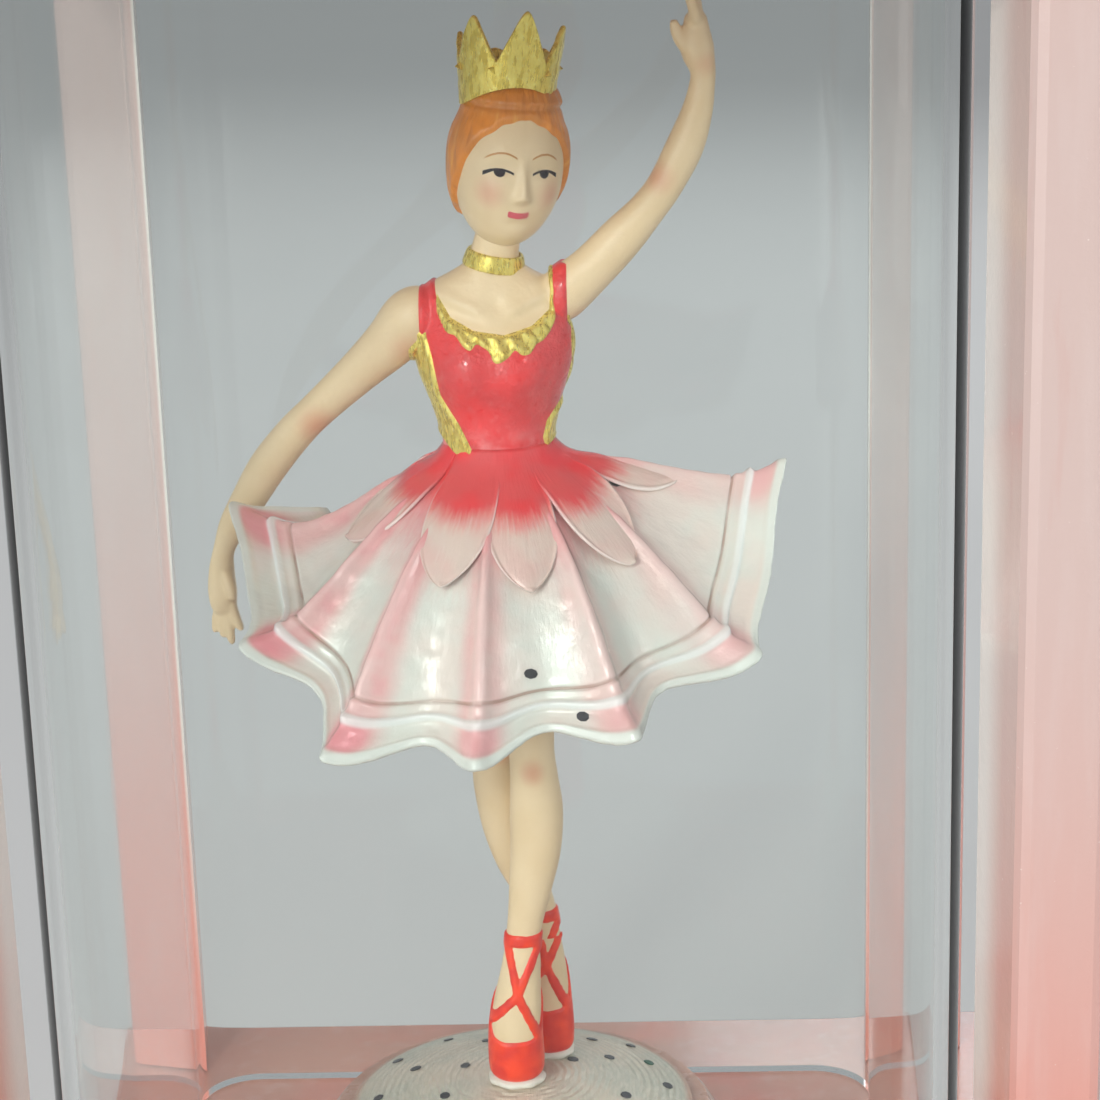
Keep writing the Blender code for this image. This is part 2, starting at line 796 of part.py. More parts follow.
def build_worm():
    """The worm and its air-brake fan: a bar whose middle swells into one right-hand thread."""
    low, high = SECOND_HEIGHT - 2.1 * WORM_PITCH, SECOND_HEIGHT + 2.1 * WORM_PITCH
    rows, sides = 26, 12
    bm = bmesh.new()
    levels = [BEDPLATE_TOP + 0.0019, low - 0.0003]
    levels += [low + (high - low) * i / rows for i in range(rows + 1)]
    levels += [high + 0.0003, FAN_TOP + 0.0010]
    rings = []
    for z in levels:
        threaded = low <= z <= high
        ring = []
        for i in range(sides):
            angle = 2 * math.pi * i / sides
            wave = math.cos(2 * math.pi * (z - SECOND_HEIGHT) / WORM_PITCH - (angle - math.pi))
            radius = WORM_MIDDLE_RADIUS - 0.00034 * wave if threaded else 0.0008
            ring.append(bm.verts.new((*polar(radius, angle), z)))
        rings.append(ring)
    for lower, upper in zip(rings, rings[1:]):
        for i in range(sides):
            bm.faces.new((lower[i], lower[(i + 1) % sides], upper[(i + 1) % sides], upper[i]))
    bm.faces.new(rings[0])
    bm.faces.new(rings[-1])
    worm = place("governor_worm", mesh_from(bm, "governor_worm"), STEEL, (WORM_X, WORM_Y, 0))
    vane = block(
        "fan_vane",
        (WORM_X - FAN_RADIUS, WORM_Y - 0.0003, FAN_LOW),
        (WORM_X + FAN_RADIUS, WORM_Y + 0.0003, FAN_TOP),
        STEEL,
    )
    join(worm, vane)


def build_stop():
    tip = WORM_Y + FAN_RADIUS + STOP_TRAVEL * 0.6
    rod("stop_rod", (WORM_X, tip, STOP_HEIGHT), (WORM_X, STOP_KNOB - GAP, STOP_HEIGHT), 0.0012, STEEL, 10)
    reach = KNOB_REACH - STOP_KNOB
    turned(
        "stop_knob",
        [
            (0.0, reach),
            (0.0024, reach - 0.0004),
            (0.0040, reach - 0.0020),
            (0.0038, reach - 0.0042),
            (0.0020, reach - 0.0056),
            (0.0024, 0.0),
            (0.0, 0.0),
        ],
        BRASS,
        (WORM_X, STOP_KNOB, STOP_HEIGHT),
        sides=16,
        lay=(-math.pi / 2, 0, 0),
    )


# ---------------------------------------------------------------------------- stage and ballerina


def build_stage():
    rod("drive_shaft", (0, 0, BARREL_TOP + 0.0020 + GAP), (0, 0, DECK_TOP + 0.0140), ARBOR_RADIUS, STEEL, 12)
    bottom, top = DECK_TOP + 0.0008, DOME_RIM - GAP
    turned(
        "stage_drum",
        [
            (0.0, top),
            (0.0226, top),
            (STAGE_RADIUS, top - 0.0012),
            (0.0229, top - 0.0030),
            (0.0229, bottom + 0.0045),
            (0.0243, bottom + 0.0030),
            (0.0250, bottom + 0.0012),
            (0.0250, bottom),
            (ARBOR_RADIUS + 0.0002, bottom),
            (ARBOR_RADIUS + 0.0002, DECK_TOP + 0.0144),
            (0.0, DECK_TOP + 0.0144),
        ],
        BLUSH_GLOSS,
        sides=36,
    )
    rise, lip = DOME_CROWN - DOME_RIM - 0.0006, 0.0006
    ball = (DOME_RADIUS**2 + rise**2) / (2 * rise)
    profile = []
    for i in range(6):
        radius = DOME_RADIUS * i / 5
        profile.append((radius, DOME_CROWN - (ball - math.sqrt(ball**2 - radius**2))))
    turned("stage_dome", [*profile, (DOME_RADIUS, DOME_RIM + lip / 2), (DOME_RADIUS - 0.0004, DOME_RIM), (0.0, DOME_RIM)], PEARL, sides=36)


def build_legs():
    front = tube(
        "ballerina_legs",
        [
            at_stage(-0.2, -4.0, 24.5),
            at_stage(-0.2, -4.4, 27.0),
            at_stage(0.3, -4.0, 34.0),
            at_stage(1.2, -3.2, 43.0),
            at_stage(1.6, -2.6, 54.0),
            at_stage(2.2, -2.8, 62.0),
            at_stage(1.8, -1.0, 80.0),
            at_stage(0.8, 0.2, 95.0),
            at_stage(-0.2, 0.2, 99.8),
        ],
        [0.0028, 0.0030, 0.0026, 0.0021, 0.0029, 0.0030, 0.0039, 0.0046, 0.0046],
        SKIN,
    )
    rear = tube(
        "rear_leg",
        [
            at_stage(4.2, 6.2, 23.9),
            at_stage(4.0, 6.2, 27.0),
            at_stage(3.4, 5.2, 34.0),
            at_stage(2.4, 3.8, 43.0),
            at_stage(-1.0, 2.6, 56.0),
            at_stage(-2.2, 2.0, 64.0),
            at_stage(-2.4, 1.2, 80.0),
            at_stage(-1.4, 0.6, 97.0),
        ],
        [0.0026, 0.0028, 0.0025, 0.0021, 0.0029, 0.0030, 0.0038, 0.0040],
        SKIN,
    )
    join(front, rear)


def skirt_point(turn, share):
    """A point of the skirt's outer face. Turn is measured from the front towards +X, and share runs from the
    waist to the hem. The sides are lifted, the front and back hang, eleven ribs run to the hem's corners, and
    the hem draws in where the lowered arm passes it."""
    side = math.sin(turn) ** 2
    fall = math.radians(15 * side + 60 * (1 - side))
    length = 0.0255 * side + (0.0335 if math.cos(turn) > 0 else 0.0290) * (1 - side)
    length *= 1 - 0.19 * math.exp(-(((turn - ARM_TURN) / 0.26) ** 2))
    ribs = 11
    rib = abs(math.sin(ribs * (turn + math.radians(4)) / 2))
    fold = (0.5 - rib) * share
    bulge = math.sin(math.pi * share) * 0.0018
    out = 0.0061 + length * share * math.cos(fall) + bulge * math.cos(fall) + fold * 0.0030 * math.sin(fall)
    drop = length * share * math.sin(fall) - bulge * math.sin(fall) - fold * 0.0026 * math.cos(fall)
    return Vector((out * math.sin(turn), -out * math.cos(turn), WAIST - 0.0005 - drop))


def build_skirt():
    sides, rows = 44, 5
    bm = bmesh.new()
    rings = [
        [bm.verts.new(skirt_point(2 * math.pi * i / sides, row / rows)) for i in range(sides)]
        for row in range(rows + 1)
    ]
    for upper, lower in zip(rings, rings[1:]):
        for i in range(sides):
            bm.faces.new((upper[i], upper[(i + 1) % sides], lower[(i + 1) % sides], lower[i]))
    skirt = place("ballerina_skirt", mesh_from(bm, "ballerina_skirt", smooth=True), PEARL)
    wall = skirt.modifiers.new("wall", "SOLIDIFY")
    wall.thickness = 0.0009
    wall.offset = -1


def build_upper_body():
    loft(
        "ballerina_torso",
        [
            tuple(at_stage(-0.3, 0.0, 101.3)) + (0.0059, 0.0050),
            tuple(at_stage(-0.2, -0.1, 104.5)) + (0.0061, 0.0049),
            tuple(at_stage(0.3, -0.4, 110.5)) + (0.0076, 0.0061),
            tuple(at_stage(0.2, -0.2, 114.5)) + (0.0079, 0.0054),
            tuple(at_stage(-0.4, 0.1, 118.6)) + (0.0073, 0.0043),
            tuple(at_stage(-0.3, 0.4, 120.6)) + (0.0042, 0.0034),
            tuple(at_stage(-0.2, 0.4, 121.8)) + (0.0028, 0.0027),
            tuple(at_stage(0.6, -0.2, 123.9)) + (0.0026, 0.0025),
        ],
        SKIN,
    )
    bm = bmesh.new()
    bmesh.ops.create_uvsphere(bm, u_segments=18, v_segments=12, radius=1.0)
    bmesh.ops.scale(bm, vec=(0.0062, 0.0070, 0.0084), verts=bm.verts)
    place("ballerina_head", mesh_from(bm, "ballerina_head", smooth=True), SKIN, at_stage(1.9, -0.6, 132.7))
    tube(
        "ballerina_arm_lowered",
        [
            at_stage(-9.8, 0.2, 115.6),
            at_stage(-16.4, 1.6, 110.2),
            at_stage(-22.8, 4.2, 103.4),
            at_stage(-28.4, 6.8, 97.0),
            at_stage(-31.4, 8.0, 90.0),
            at_stage(-32.4, 8.6, 84.0),
            at_stage(-32.4, 8.6, 77.5),
        ],
        [0.0022, 0.0028, 0.0024, 0.0021, 0.0016, 0.0019, 0.0009],
        SKIN,
        1,
    )
    tube(
        "ballerina_arm_raised",
        [
            at_stage(9.4, 0.2, 118.6),
            at_stage(13.6, 0.0, 124.0),
            at_stage(18.0, 0.0, 129.6),
            at_stage(21.0, 0.0, 136.4),
            at_stage(23.2, 0.0, 143.5),
            at_stage(22.2, 0.0, 148.5),
            at_stage(20.4, 0.0, 153.5),
        ],
        [0.0021, 0.0027, 0.0024, 0.0021, 0.0015, 0.0018, 0.0009],
        SKIN,
        1,
    )
    build_crown()


def build_crown():
    points, low, valley, peak = 7, 140.2, 144.6, 150.2
    steps = points * 4
    bm = bmesh.new()
    lower, upper = [], []
    for i in range(steps):
        angle = 2 * math.pi * i / steps + 0.2
        phase = (i % 4) / 4
        height = valley + (peak - valley) * (1 - abs(2 * phase - 1)) ** 0.9
        flare = 4.9 + 1.1 * (height - low) / (peak - low)
        lower.append(bm.verts.new(at_stage(2.5 + 4.9 * math.cos(angle), 0.4 + 4.9 * math.sin(angle), low)))
        upper.append(bm.verts.new(at_stage(2.5 + flare * math.cos(angle), 0.4 + flare * math.sin(angle), height)))
    for i in range(steps):
        j = (i + 1) % steps
        bm.faces.new((lower[i], lower[j], upper[j], upper[i]))
    crown = place("ballerina_crown", mesh_from(bm, "ballerina_crown"), GOLD)
    wall = crown.modifiers.new("wall", "SOLIDIFY")
    wall.thickness = 0.0007
    wall.offset = -1


clear_scene()
PARTS = new_collection("ballerina_jewellery_box")
CUTTERS = new_collection("cutters")
CORAL = finish("coral_lacquer", (0.80, 0.30, 0.27), 0.35)
BLUSH = finish("blush_lacquer", (0.88, 0.62, 0.60), 0.32)
BLUSH_GLOSS = finish("blush_gloss", (0.85, 0.55, 0.50), 0.25)
PEARL = finish("pearl_paint", (0.80, 0.78, 0.72), 0.30)
SKIN = finish("skin_paint", (0.82, 0.63, 0.45), 0.50)
GOLD = finish("gold_paint", (0.70, 0.52, 0.16), 0.35, 0.8)
CLEAR = finish("clear_acrylic", (0.95, 0.97, 0.96), 0.05, alpha=0.3)
BARE_WOOD = finish("bare_wood", (0.62, 0.46, 0.30), 0.65)
VELVET = finish("velvet", (0.60, 0.12, 0.17), 0.95)
BRASS = finish("brass", (0.75, 0.58, 0.28), 0.30, 1.0)
STEEL = finish("steel", (0.60, 0.60, 0.62), 0.30, 1.0)
ZINC = finish("zinc_casting", (0.55, 0.56, 0.58), 0.45, 0.9)

build_feet()
build_base()
build_drawer()
build_case()
build_bedplate()
build_barrel()
build_winder()
build_cylinder()
build_comb()
build_governor()
build_stop()
build_stage()
build_legs()
build_skirt()
build_upper_body()
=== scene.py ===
"""The finished look of the musical ballerina jewellery box.

The ballerina and the stage are laid out in millimetres above the deck and the cabinet in millimetres above
the table. Pieces become metres when they are set down.
"""

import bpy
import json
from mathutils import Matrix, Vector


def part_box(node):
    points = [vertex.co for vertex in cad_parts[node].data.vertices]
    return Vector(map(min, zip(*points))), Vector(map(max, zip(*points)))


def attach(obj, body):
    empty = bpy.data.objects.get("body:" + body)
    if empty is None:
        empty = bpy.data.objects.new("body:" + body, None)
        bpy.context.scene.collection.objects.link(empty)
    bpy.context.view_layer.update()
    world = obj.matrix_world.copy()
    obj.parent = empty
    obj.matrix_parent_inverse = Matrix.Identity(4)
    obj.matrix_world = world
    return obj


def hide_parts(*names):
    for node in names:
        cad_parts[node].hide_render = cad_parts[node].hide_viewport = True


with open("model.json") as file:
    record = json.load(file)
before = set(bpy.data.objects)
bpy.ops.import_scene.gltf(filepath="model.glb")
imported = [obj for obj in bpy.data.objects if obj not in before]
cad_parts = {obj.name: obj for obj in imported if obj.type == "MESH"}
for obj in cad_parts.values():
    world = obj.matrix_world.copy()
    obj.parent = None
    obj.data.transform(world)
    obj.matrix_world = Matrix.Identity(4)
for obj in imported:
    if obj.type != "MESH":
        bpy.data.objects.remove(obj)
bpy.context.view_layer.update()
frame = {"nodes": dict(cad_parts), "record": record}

import json
import math
import random

import bmesh
import bpy
from mathutils import Euler, Matrix, Vector, noise
from mathutils.bvhtree import BVHTree

MM = 0.001
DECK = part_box("deck_board")[1].z / MM
CAMERA = Vector((14.5, -306.2, 179.4))


# ---------------------------------------------------------------------------- camera, floor and light


def set_camera():
    yaw, pitch, roll = math.radians(-1.72), math.radians(16.48), math.radians(1.67)
    ahead = Vector((math.sin(yaw) * math.cos(pitch), math.cos(yaw) * math.cos(pitch), -math.sin(pitch)))
    level = Vector((math.cos(yaw), -math.sin(yaw), 0.0))
    down = ahead.cross(level)
    across = level * math.cos(roll) + down * math.sin(roll)
    below = down * math.cos(roll) - level * math.sin(roll)
    lens = bpy.data.cameras.new("camera")
    lens.sensor_width = 36
    lens.lens = 92
    lens.clip_start = 0.01
    lens.clip_end = 20
    camera = bpy.data.objects.new("camera", lens)
    turn = Matrix((across, -below, -ahead)).transposed()
    camera.matrix_world = Matrix.Translation((CAMERA + Vector((0, 0, DECK))) * MM) @ turn.to_4x4()
    bpy.context.scene.collection.objects.link(camera)
    bpy.context.scene.camera = camera


def add_light(name, place, target, size, watts, colour):
    data = bpy.data.lights.new(name, "AREA")
    data.shape = "RECTANGLE"
    data.size, data.size_y = size
    data.energy = watts
    data.color = colour
    light = bpy.data.objects.new(name, data)
    light.location = place
    light.visible_transmission = False
    light.rotation_euler = (Vector(target) - Vector(place)).to_track_quat("-Z", "Y").to_euler()
    bpy.context.scene.collection.objects.link(light)


def light_studio():
    world = bpy.data.worlds.new("studio")
    world.use_nodes = True
    sky = world.node_tree.nodes["Background"]
    sky.inputs["Color"].default_value = (0.93, 0.96, 1.0, 1)
    sky.inputs["Strength"].default_value = 0.38
    bpy.context.scene.world = world
    middle = (0, 0, 0.16)
    add_light("window", (-0.75, -1.30, 0.52), middle, (0.75, 0.75), 9.0, (1.0, 0.98, 0.95))
    add_light("spark", (-0.42, -0.95, 0.70), (0, 0, 0.16), (0.09, 0.07), 2.0, (1.0, 0.98, 0.96))
    add_light("glint", (0.75, -0.60, 0.62), (0, 0, 0.14), (0.12, 0.09), 0.7, (0.95, 0.98, 1.0))
    add_light("skylight", (-0.35, -0.95, 1.15), (0, 0, 0.12), (0.55, 0.45), 0.9, (0.96, 0.98, 1.0))
    add_light("fill", (1.1, -1.1, 0.35), middle, (0.80, 0.80), 2.8, (1.0, 0.94, 0.90))
    for name, x in (("strip_left", -1.0), ("strip_right", 1.0)):
        add_light(name, (x, -0.35, 0.35), middle, (0.05, 0.90), 0.7, (1.0, 1.0, 1.0))
    add_light("back", (0.4, 1.1, 0.8), middle, (0.80, 0.50), 3.5, (0.92, 0.97, 1.0))


# ---------------------------------------------------------------------------- finishes


class Wire:
    """A value that varies over a surface, which can be used in sums like a number."""

    def __init__(self, finish, socket):
        self.finish = finish
        self.socket = socket

    def maths(self, operation, *others):
        values = {0: self, **{i + 1: other for i, other in enumerate(others)}}
        return self.finish.node("Math", {"operation": operation}, values)

    def __add__(self, other):
        return self.maths("ADD", other)

    __radd__ = __add__

    def __mul__(self, other):
        return self.maths("MULTIPLY", other)

    __rmul__ = __mul__

    def __sub__(self, other):
        return self.maths("SUBTRACT", other)

    def __rsub__(self, other):
        return self.finish.node("Math", {"operation": "SUBTRACT"}, {0: other, 1: self})

    def __truediv__(self, other):
        return self.maths("DIVIDE", other)

    def __pow__(self, other):
        return self.maths("POWER", other)

    def __abs__(self):
        return self.maths("ABSOLUTE")

    def sine(self):
        return self.maths("SINE")

    def most(self, other):
        return self.maths("MAXIMUM", other)

    def step(self, low, high):
        """0 below low and 1 above high, smooth between; high may be the lower one."""
        falls = low > high
        ends = {1: min(low, high), 2: max(low, high), 3: 1.0 if falls else 0.0, 4: 0.0 if falls else 1.0}
        return self.finish.node("MapRange", {"interpolation_type": "SMOOTHSTEP"}, {0: self, **ends})


class Finish:
    """A material that is built up on one Principled shader."""

    def __init__(self, name, colour, roughness, metallic=0.0, **constants):
        self.material = bpy.data.materials.new(name)
        self.material.use_nodes = True
        self.tree = self.material.node_tree
        self.shader = self.tree.nodes["Principled BSDF"]
        self.output = self.tree.nodes["Material Output"]
        self.shader.inputs["Base Color"].default_value = (*colour, 1)
        self.shader.inputs["Roughness"].default_value = roughness
        self.shader.inputs["Metallic"].default_value = metallic
        for socket, value in constants.items():
            self.shader.inputs[socket.replace("_", " ")].default_value = value

    def feed(self, socket, value):
        if isinstance(value, Wire):
            self.tree.links.new(value.socket, socket)
        elif isinstance(value, tuple) and len(value) == 3 and socket.type == "RGBA":
            socket.default_value = (*value, 1)
        else:
            socket.default_value = value

    def node(self, kind, settings=None, values=None, out=0):
        made = self.tree.nodes.new("ShaderNode" + kind)
        for setting, value in (settings or {}).items():
            if setting == "stops":
                ramp = made.color_ramp
                while len(ramp.elements) < len(value):
                    ramp.elements.new(0.5)
                for stop, (at, colour) in zip(ramp.elements, value):
                    stop.position = at
                    stop.color = (*colour, 1)
            else:
                setattr(made, setting, value)
        for socket, value in (values or {}).items():
            self.feed(made.inputs[socket], value)
        return Wire(self, made.outputs[out])

    def place(self, centre=(0, 0, 0), turn=(0, 0, 0), lift=DECK):
        """The point on the surface, in millimetres from a centre above the deck and in a turned frame."""
        here = self.node("TexCoord", out=3)
        middle = (centre[0] * MM, centre[1] * MM, (centre[2] + lift) * MM)
        values = {"Vector": here, "Location": middle, "Rotation": turn, "Scale": (MM, MM, MM)}
        return self.node("Mapping", {"vector_type": "TEXTURE"}, values)

    def around(self, point, centre, reach):
        """1 at a centre, fading to 0 at its reach."""
        away = self.node("VectorMath", {"operation": "DISTANCE"}, {0: point, 1: centre}, out=1)
        return away.step(reach, 0)

    def parts(self, point):
        split = self.node("SeparateXYZ", values={0: point})
        return [Wire(self, socket) for socket in split.socket.node.outputs]

    def point(self, x, y, z):
        return self.node("CombineXYZ", values={0: x, 1: y, 2: z})

    def marked(self, name):
        """A value that the piece's points carry."""
        return self.node("Attribute", {"attribute_name": name}, out=2)

    def grain(self, point, scale, detail=3.0, roughness=0.5):
        values = {"Vector": point, "Scale": scale, "Detail": detail, "Roughness": roughness}
        return self.node("TexNoise", values=values)

    def stretch(self, point, sizes):
        return self.node("Mapping", values={"Vector": point, "Scale": sizes})

    def blend(self, share, first, second):
        settings = {"data_type": "RGBA"}
        return self.node("Mix", settings, {0: share, 6: first, 7: second}, out=2)

    def colour(self, value):
        self.feed(self.shader.inputs["Base Color"], value)

    def gloss(self, value):
        self.feed(self.shader.inputs["Roughness"], value)

    def metal(self, value):
        self.feed(self.shader.inputs["Metallic"], value)

    def relief(self, height, depth=0.1, strength=1.0):
        """Raises the surface by up to depth in millimetres."""
        values = {"Height": height, "Distance": depth * MM, "Strength": strength}
        self.feed(self.shader.inputs["Normal"], self.node("Bump", values=values))


# ---------------------------------------------------------------------------- ways of making pieces


def smooth(low, high, value):
    share = min(1.0, max(0.0, (value - low) / (high - low)))
    return share * share * (3 - 2 * share)


def box_of(node):
    """A part's low and high corners, in millimetres above the table."""
    return [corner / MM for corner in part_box(node)]


def flow(value, stops):
    """Reads a table of (position, value) along a smooth curve through its points."""
    if value <= stops[0][0]:
        return stops[0][1]
    if value >= stops[-1][0]:
        return stops[-1][1]
    i = next(k for k in range(1, len(stops)) if value <= stops[k][0]) - 1

    def slope(k):
        (a, low), (b, high) = stops[max(k - 1, 0)], stops[min(k + 1, len(stops) - 1)]
        return (high - low) / (b - a)

    (a, low), (b, high) = stops[i], stops[i + 1]
    span = b - a
    t = (value - a) / span
    ease = t * t * (3 - 2 * t)
    start, end = slope(i) * span, slope(i + 1) * span
    return low + (high - low) * ease + start * t * (1 - t) ** 2 - end * t * t * (1 - t)


def mound(*pairs):
    """A soft mound: 1 where every offset is 0, fading over each offset's width."""
    return math.exp(-sum((offset / width) ** 2 for offset, width in pairs))


def inside_by(x, y, outline):
    """How far a point lies inside a closed outline; below 0 it is outside."""
    nearest, inside = 1e9, False
    for (ax, ay), (bx, by) in zip(outline, outline[1:] + outline[:1]):
        dx, dy = bx - ax, by - ay
        share = min(1.0, max(0.0, ((x - ax) * dx + (y - ay) * dy) / (dx * dx + dy * dy)))
        nearest = min(nearest, math.hypot(x - ax - share * dx, y - ay - share * dy))
        if (ay > y) != (by > y) and x < ax + (y - ay) / (by - ay) * (bx - ax):
            inside = not inside
    return nearest if inside else -nearest


def near_line(x, y, points):
    """How far a point lies from a line through the points."""
    nearest = 1e9
    for (ax, ay), (bx, by) in zip(points, points[1:]):
        dx, dy = bx - ax, by - ay
        share = min(1.0, max(0.0, ((x - ax) * dx + (y - ay) * dy) / (dx * dx + dy * dy)))
        nearest = min(nearest, math.hypot(x - ax - share * dx, y - ay - share * dy))
    return nearest


def spline_point(points, share):
    """A point of the smooth curve through the points, by Catmull and Rom's rule."""
    spans = len(points) - 1
    at = min(max(share, 0.0), 1.0) * spans
    i = min(int(at), spans - 1)
    t = at - i
    a, b, c, d = (Vector(points[max(0, min(spans, i + k))]) for k in (-1, 0, 1, 2))
    return 0.5 * (2 * b + (c - a) * t + (2 * a - 5 * b + 4 * c - d) * t**2 + (3 * b - a - 3 * c + d) * t**3)


def woven(columns, rows, shape, marks=()):
    """A net of columns by rows faces. Shape gives the place of the point that is a share across and a share
    up, followed by the values of its marks. Edges that meet are sewn."""
    bm = bmesh.new()
    layers = [bm.verts.layers.float.new(name) for name in marks]
    bmesh.ops.create_grid(bm, x_segments=columns, y_segments=rows, size=0.5)
    for vert in bm.verts:
        found = shape(vert.co.x + 0.5, vert.co.y + 0.5)
        if marks:
            found, *values = found
            for layer, value in zip(layers, values):
                vert[layer] = value
        vert.co = found
    bmesh.ops.remove_doubles(bm, verts=bm.verts, dist=0.0005)
    return bm


def limb(points, columns=36, rows=90, flat=1.0):
    """A round-ended limb through points (x, y, z, radius). Flat gives the depth's share of the width."""
    centres = [point[:3] for point in points]
    radii = [(point[3], 0, 0) for point in points]
    path = [spline_point(centres, k / 60) for k in range(61)]
    length = sum((b - a).length for a, b in zip(path, path[1:]))

    def shape(across, up):
        middle = spline_point(centres, up)
        ahead = (spline_point(centres, up + 0.01) - spline_point(centres, up - 0.01)).normalized()
        sideways = Vector((0, 1, 0)).cross(ahead).normalized()
        depth = ahead.cross(sideways)
        radius = spline_point(radii, up).x
        end = min(1.0, min(up, 1 - up) * length / radius)
        radius *= math.sqrt(max(0.0, 1 - (1 - end) ** 2))
        turn = 2 * math.pi * across
        return middle + sideways * math.cos(turn) * radius + depth * math.sin(turn) * radius * flat

    return woven(columns, rows, shape)


def block(low, high):
    """A box between two corners."""
    bm = bmesh.new()
    bmesh.ops.create_cube(bm, size=1)
    bmesh.ops.scale(bm, vec=high - low, verts=bm.verts)
    bmesh.ops.translate(bm, vec=(low + high) / 2, verts=bm.verts)
    return bm


def cone(sides, foot, tip, tall, *moves):
    """A cone with flat sides, which the moves then carry to its place, the last one first."""
    bm = bmesh.new()
    bmesh.ops.create_cone(bm, cap_ends=True, segments=sides, radius1=foot, radius2=tip, depth=tall)
    for move in reversed(moves):
        bmesh.ops.transform(bm, matrix=move.to_4x4(), verts=bm.verts)
    return bm


def gathered(*shapes):
    """Puts several shapes into one."""
    whole = bmesh.new()
    for shape in shapes:
        mesh = bpy.data.meshes.new("gathered")
        bmesh.ops.recalc_face_normals(shape, faces=shape.faces)
        shape.to_mesh(mesh)
        shape.free()
        whole.from_mesh(mesh)
        bpy.data.meshes.remove(mesh)
    return whole


def set_down(bm, name, body, finishes, slot=None, stands_for=(), lift=0.0, flat=False, turned=True):
    """Makes the finished piece. Millimetres above the lift become metres, with the object at the origin."""
    if turned:
        bmesh.ops.recalc_face_normals(bm, faces=bm.faces)
    bmesh.ops.transform(bm, matrix=Matrix.Translation((0, 0, lift)), verts=bm.verts)
    bmesh.ops.scale(bm, vec=(MM, MM, MM), verts=bm.verts)
    mesh = bpy.data.meshes.new(name)
    bm.to_mesh(mesh)
    bm.free()
    piece = bpy.data.objects.new(name, mesh)
    bpy.context.scene.collection.objects.link(piece)
    for finish in finishes if isinstance(finishes, list) else [finishes]:
        mesh.materials.append(finish.material)
    mesh.shade_smooth()
    if flat:
        mesh.set_sharp_from_angle(angle=math.radians(35))
    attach(piece, body)
    if stands_for:
        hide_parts(*stands_for)
    return piece


def stand(bm, name, finish, slot=None, stands_for=(), **how):
    """Sets down a piece of the figure or the stage."""
    return set_down(bm, name, "turntable", finish, slot, stands_for, DECK, **how)


def melted(bm, voxel):
    """The mesh of a single skin round shapes that overlap."""
    mesh = bpy.data.meshes.new("melt")
    bm.to_mesh(mesh)
    bm.free()
    piece = bpy.data.objects.new("melt", mesh)
    bpy.context.scene.collection.objects.link(piece)
    melt = piece.modifiers.new("melt", "REMESH")
    melt.mode = "VOXEL"
    melt.voxel_size = voxel
    graph = bpy.context.evaluated_depsgraph_get()
    result = bpy.data.meshes.new_from_object(piece.evaluated_get(graph))
    bpy.data.objects.remove(piece)
    return result


def fused(bm, voxel, rounds):
    """Melts overlapping closed shapes into one skin, and softens the joins."""
    bmesh.ops.recalc_face_normals(bm, faces=bm.faces)
    result = melted(bm, voxel)
    bm = bmesh.new()
    bm.from_mesh(result)
    every_way = {"use_axis_x": True, "use_axis_y": True, "use_axis_z": True}
    for _ in range(rounds):
        bmesh.ops.smooth_vert(bm, verts=bm.verts, factor=0.5, **every_way)
    bmesh.ops.recalc_face_normals(bm, faces=bm.faces)
    bm.normal_update()
    return bm


def coat(bm, height, floor=-0.2, wall=0.3):
    """A raised layer over part of a shape. The height function gives how far the layer stands above a point,
    and where it is below zero the layer dips under the surface, so that its edge is a clean line."""
    layer = bm.copy()
    layer.normal_update()
    way = layer.verts.layers.float_vector.new("way")
    rises = {}
    for vert in layer.verts:
        rises[vert] = height(vert.co, vert.normal)
        vert[way] = vert.normal
    hidden = [face for face in layer.faces if all(rises[vert] <= floor for vert in face.verts)]
    for vert, rise in rises.items():
        vert.co += vert[way] * max(rise, floor)
    bmesh.ops.delete(layer, geom=hidden, context="FACES")
    inner = bmesh.ops.extrude_face_region(layer, geom=list(layer.faces), use_keep_orig=True)["geom"]
    for vert in inner:
        if isinstance(vert, bmesh.types.BMVert):
            vert.co -= vert[way] * wall
    bmesh.ops.recalc_face_normals(layer, faces=layer.faces)
    layer.verts.layers.float_vector.remove(way)
    return layer


# ---------------------------------------------------------------------------- the painted finishes

HEAD = Vector((1.9, -0.6, 132.3))
HEAD_TURN = Euler((0, math.radians(6), math.radians(18)))
HEAD_FRAME = Matrix.Translation(HEAD) @ HEAD_TURN.to_matrix().to_4x4()
# Spots of rosy paint on the elbows, the wrist and the knee, and painted shade in the armpits and between the
# legs.
BLUSH_AND_SHADE_SPOTS = [
    ((-20.4, 0.8, 103.6), 3.4, 0.75),
    ((-9.6, -3.0, 112.6), 3.2, 0.45),
    ((18.4, -1.0, 131.2), 2.6, 0.65),
    ((23.6, -1.0, 143.4), 2.0, 0.35),
    ((2.7, -5.6, 64.0), 2.2, 0.75),
    ((-0.9, -0.6, 65.0), 2.6, 0.75),
    ((9.4, -1.0, 115.8), 2.4, 0.35),
]


def skin_finish(name="skin", blush_and_shade=True):
    made = Finish(name, (0.78, 0.60, 0.37), 0.42, Coat_Weight=0.12, Coat_Roughness=0.35)
    here = made.place()
    cloudy = made.grain(here, 0.22, 3).step(0.35, 0.65)
    tint = made.blend(cloudy * 0.5, (0.80, 0.625, 0.40), (0.745, 0.565, 0.335))
    if blush_and_shade:
        # Rosy blush and painted shade, each at its listed spot.
        for centre, reach, strength in BLUSH_AND_SHADE_SPOTS:
            tint = made.blend(made.around(here, centre, reach) * strength, tint, (0.66, 0.27, 0.16))
    specks = made.grain(here, 5.0, 2).step(0.74, 0.80)
    made.colour(made.blend(specks * 0.25, tint, (0.52, 0.36, 0.22)))
    made.gloss(0.38 + 0.14 * made.grain(here, 1.3))
    made.relief(made.grain(here, 1.6, 4), 0.05)
    return made


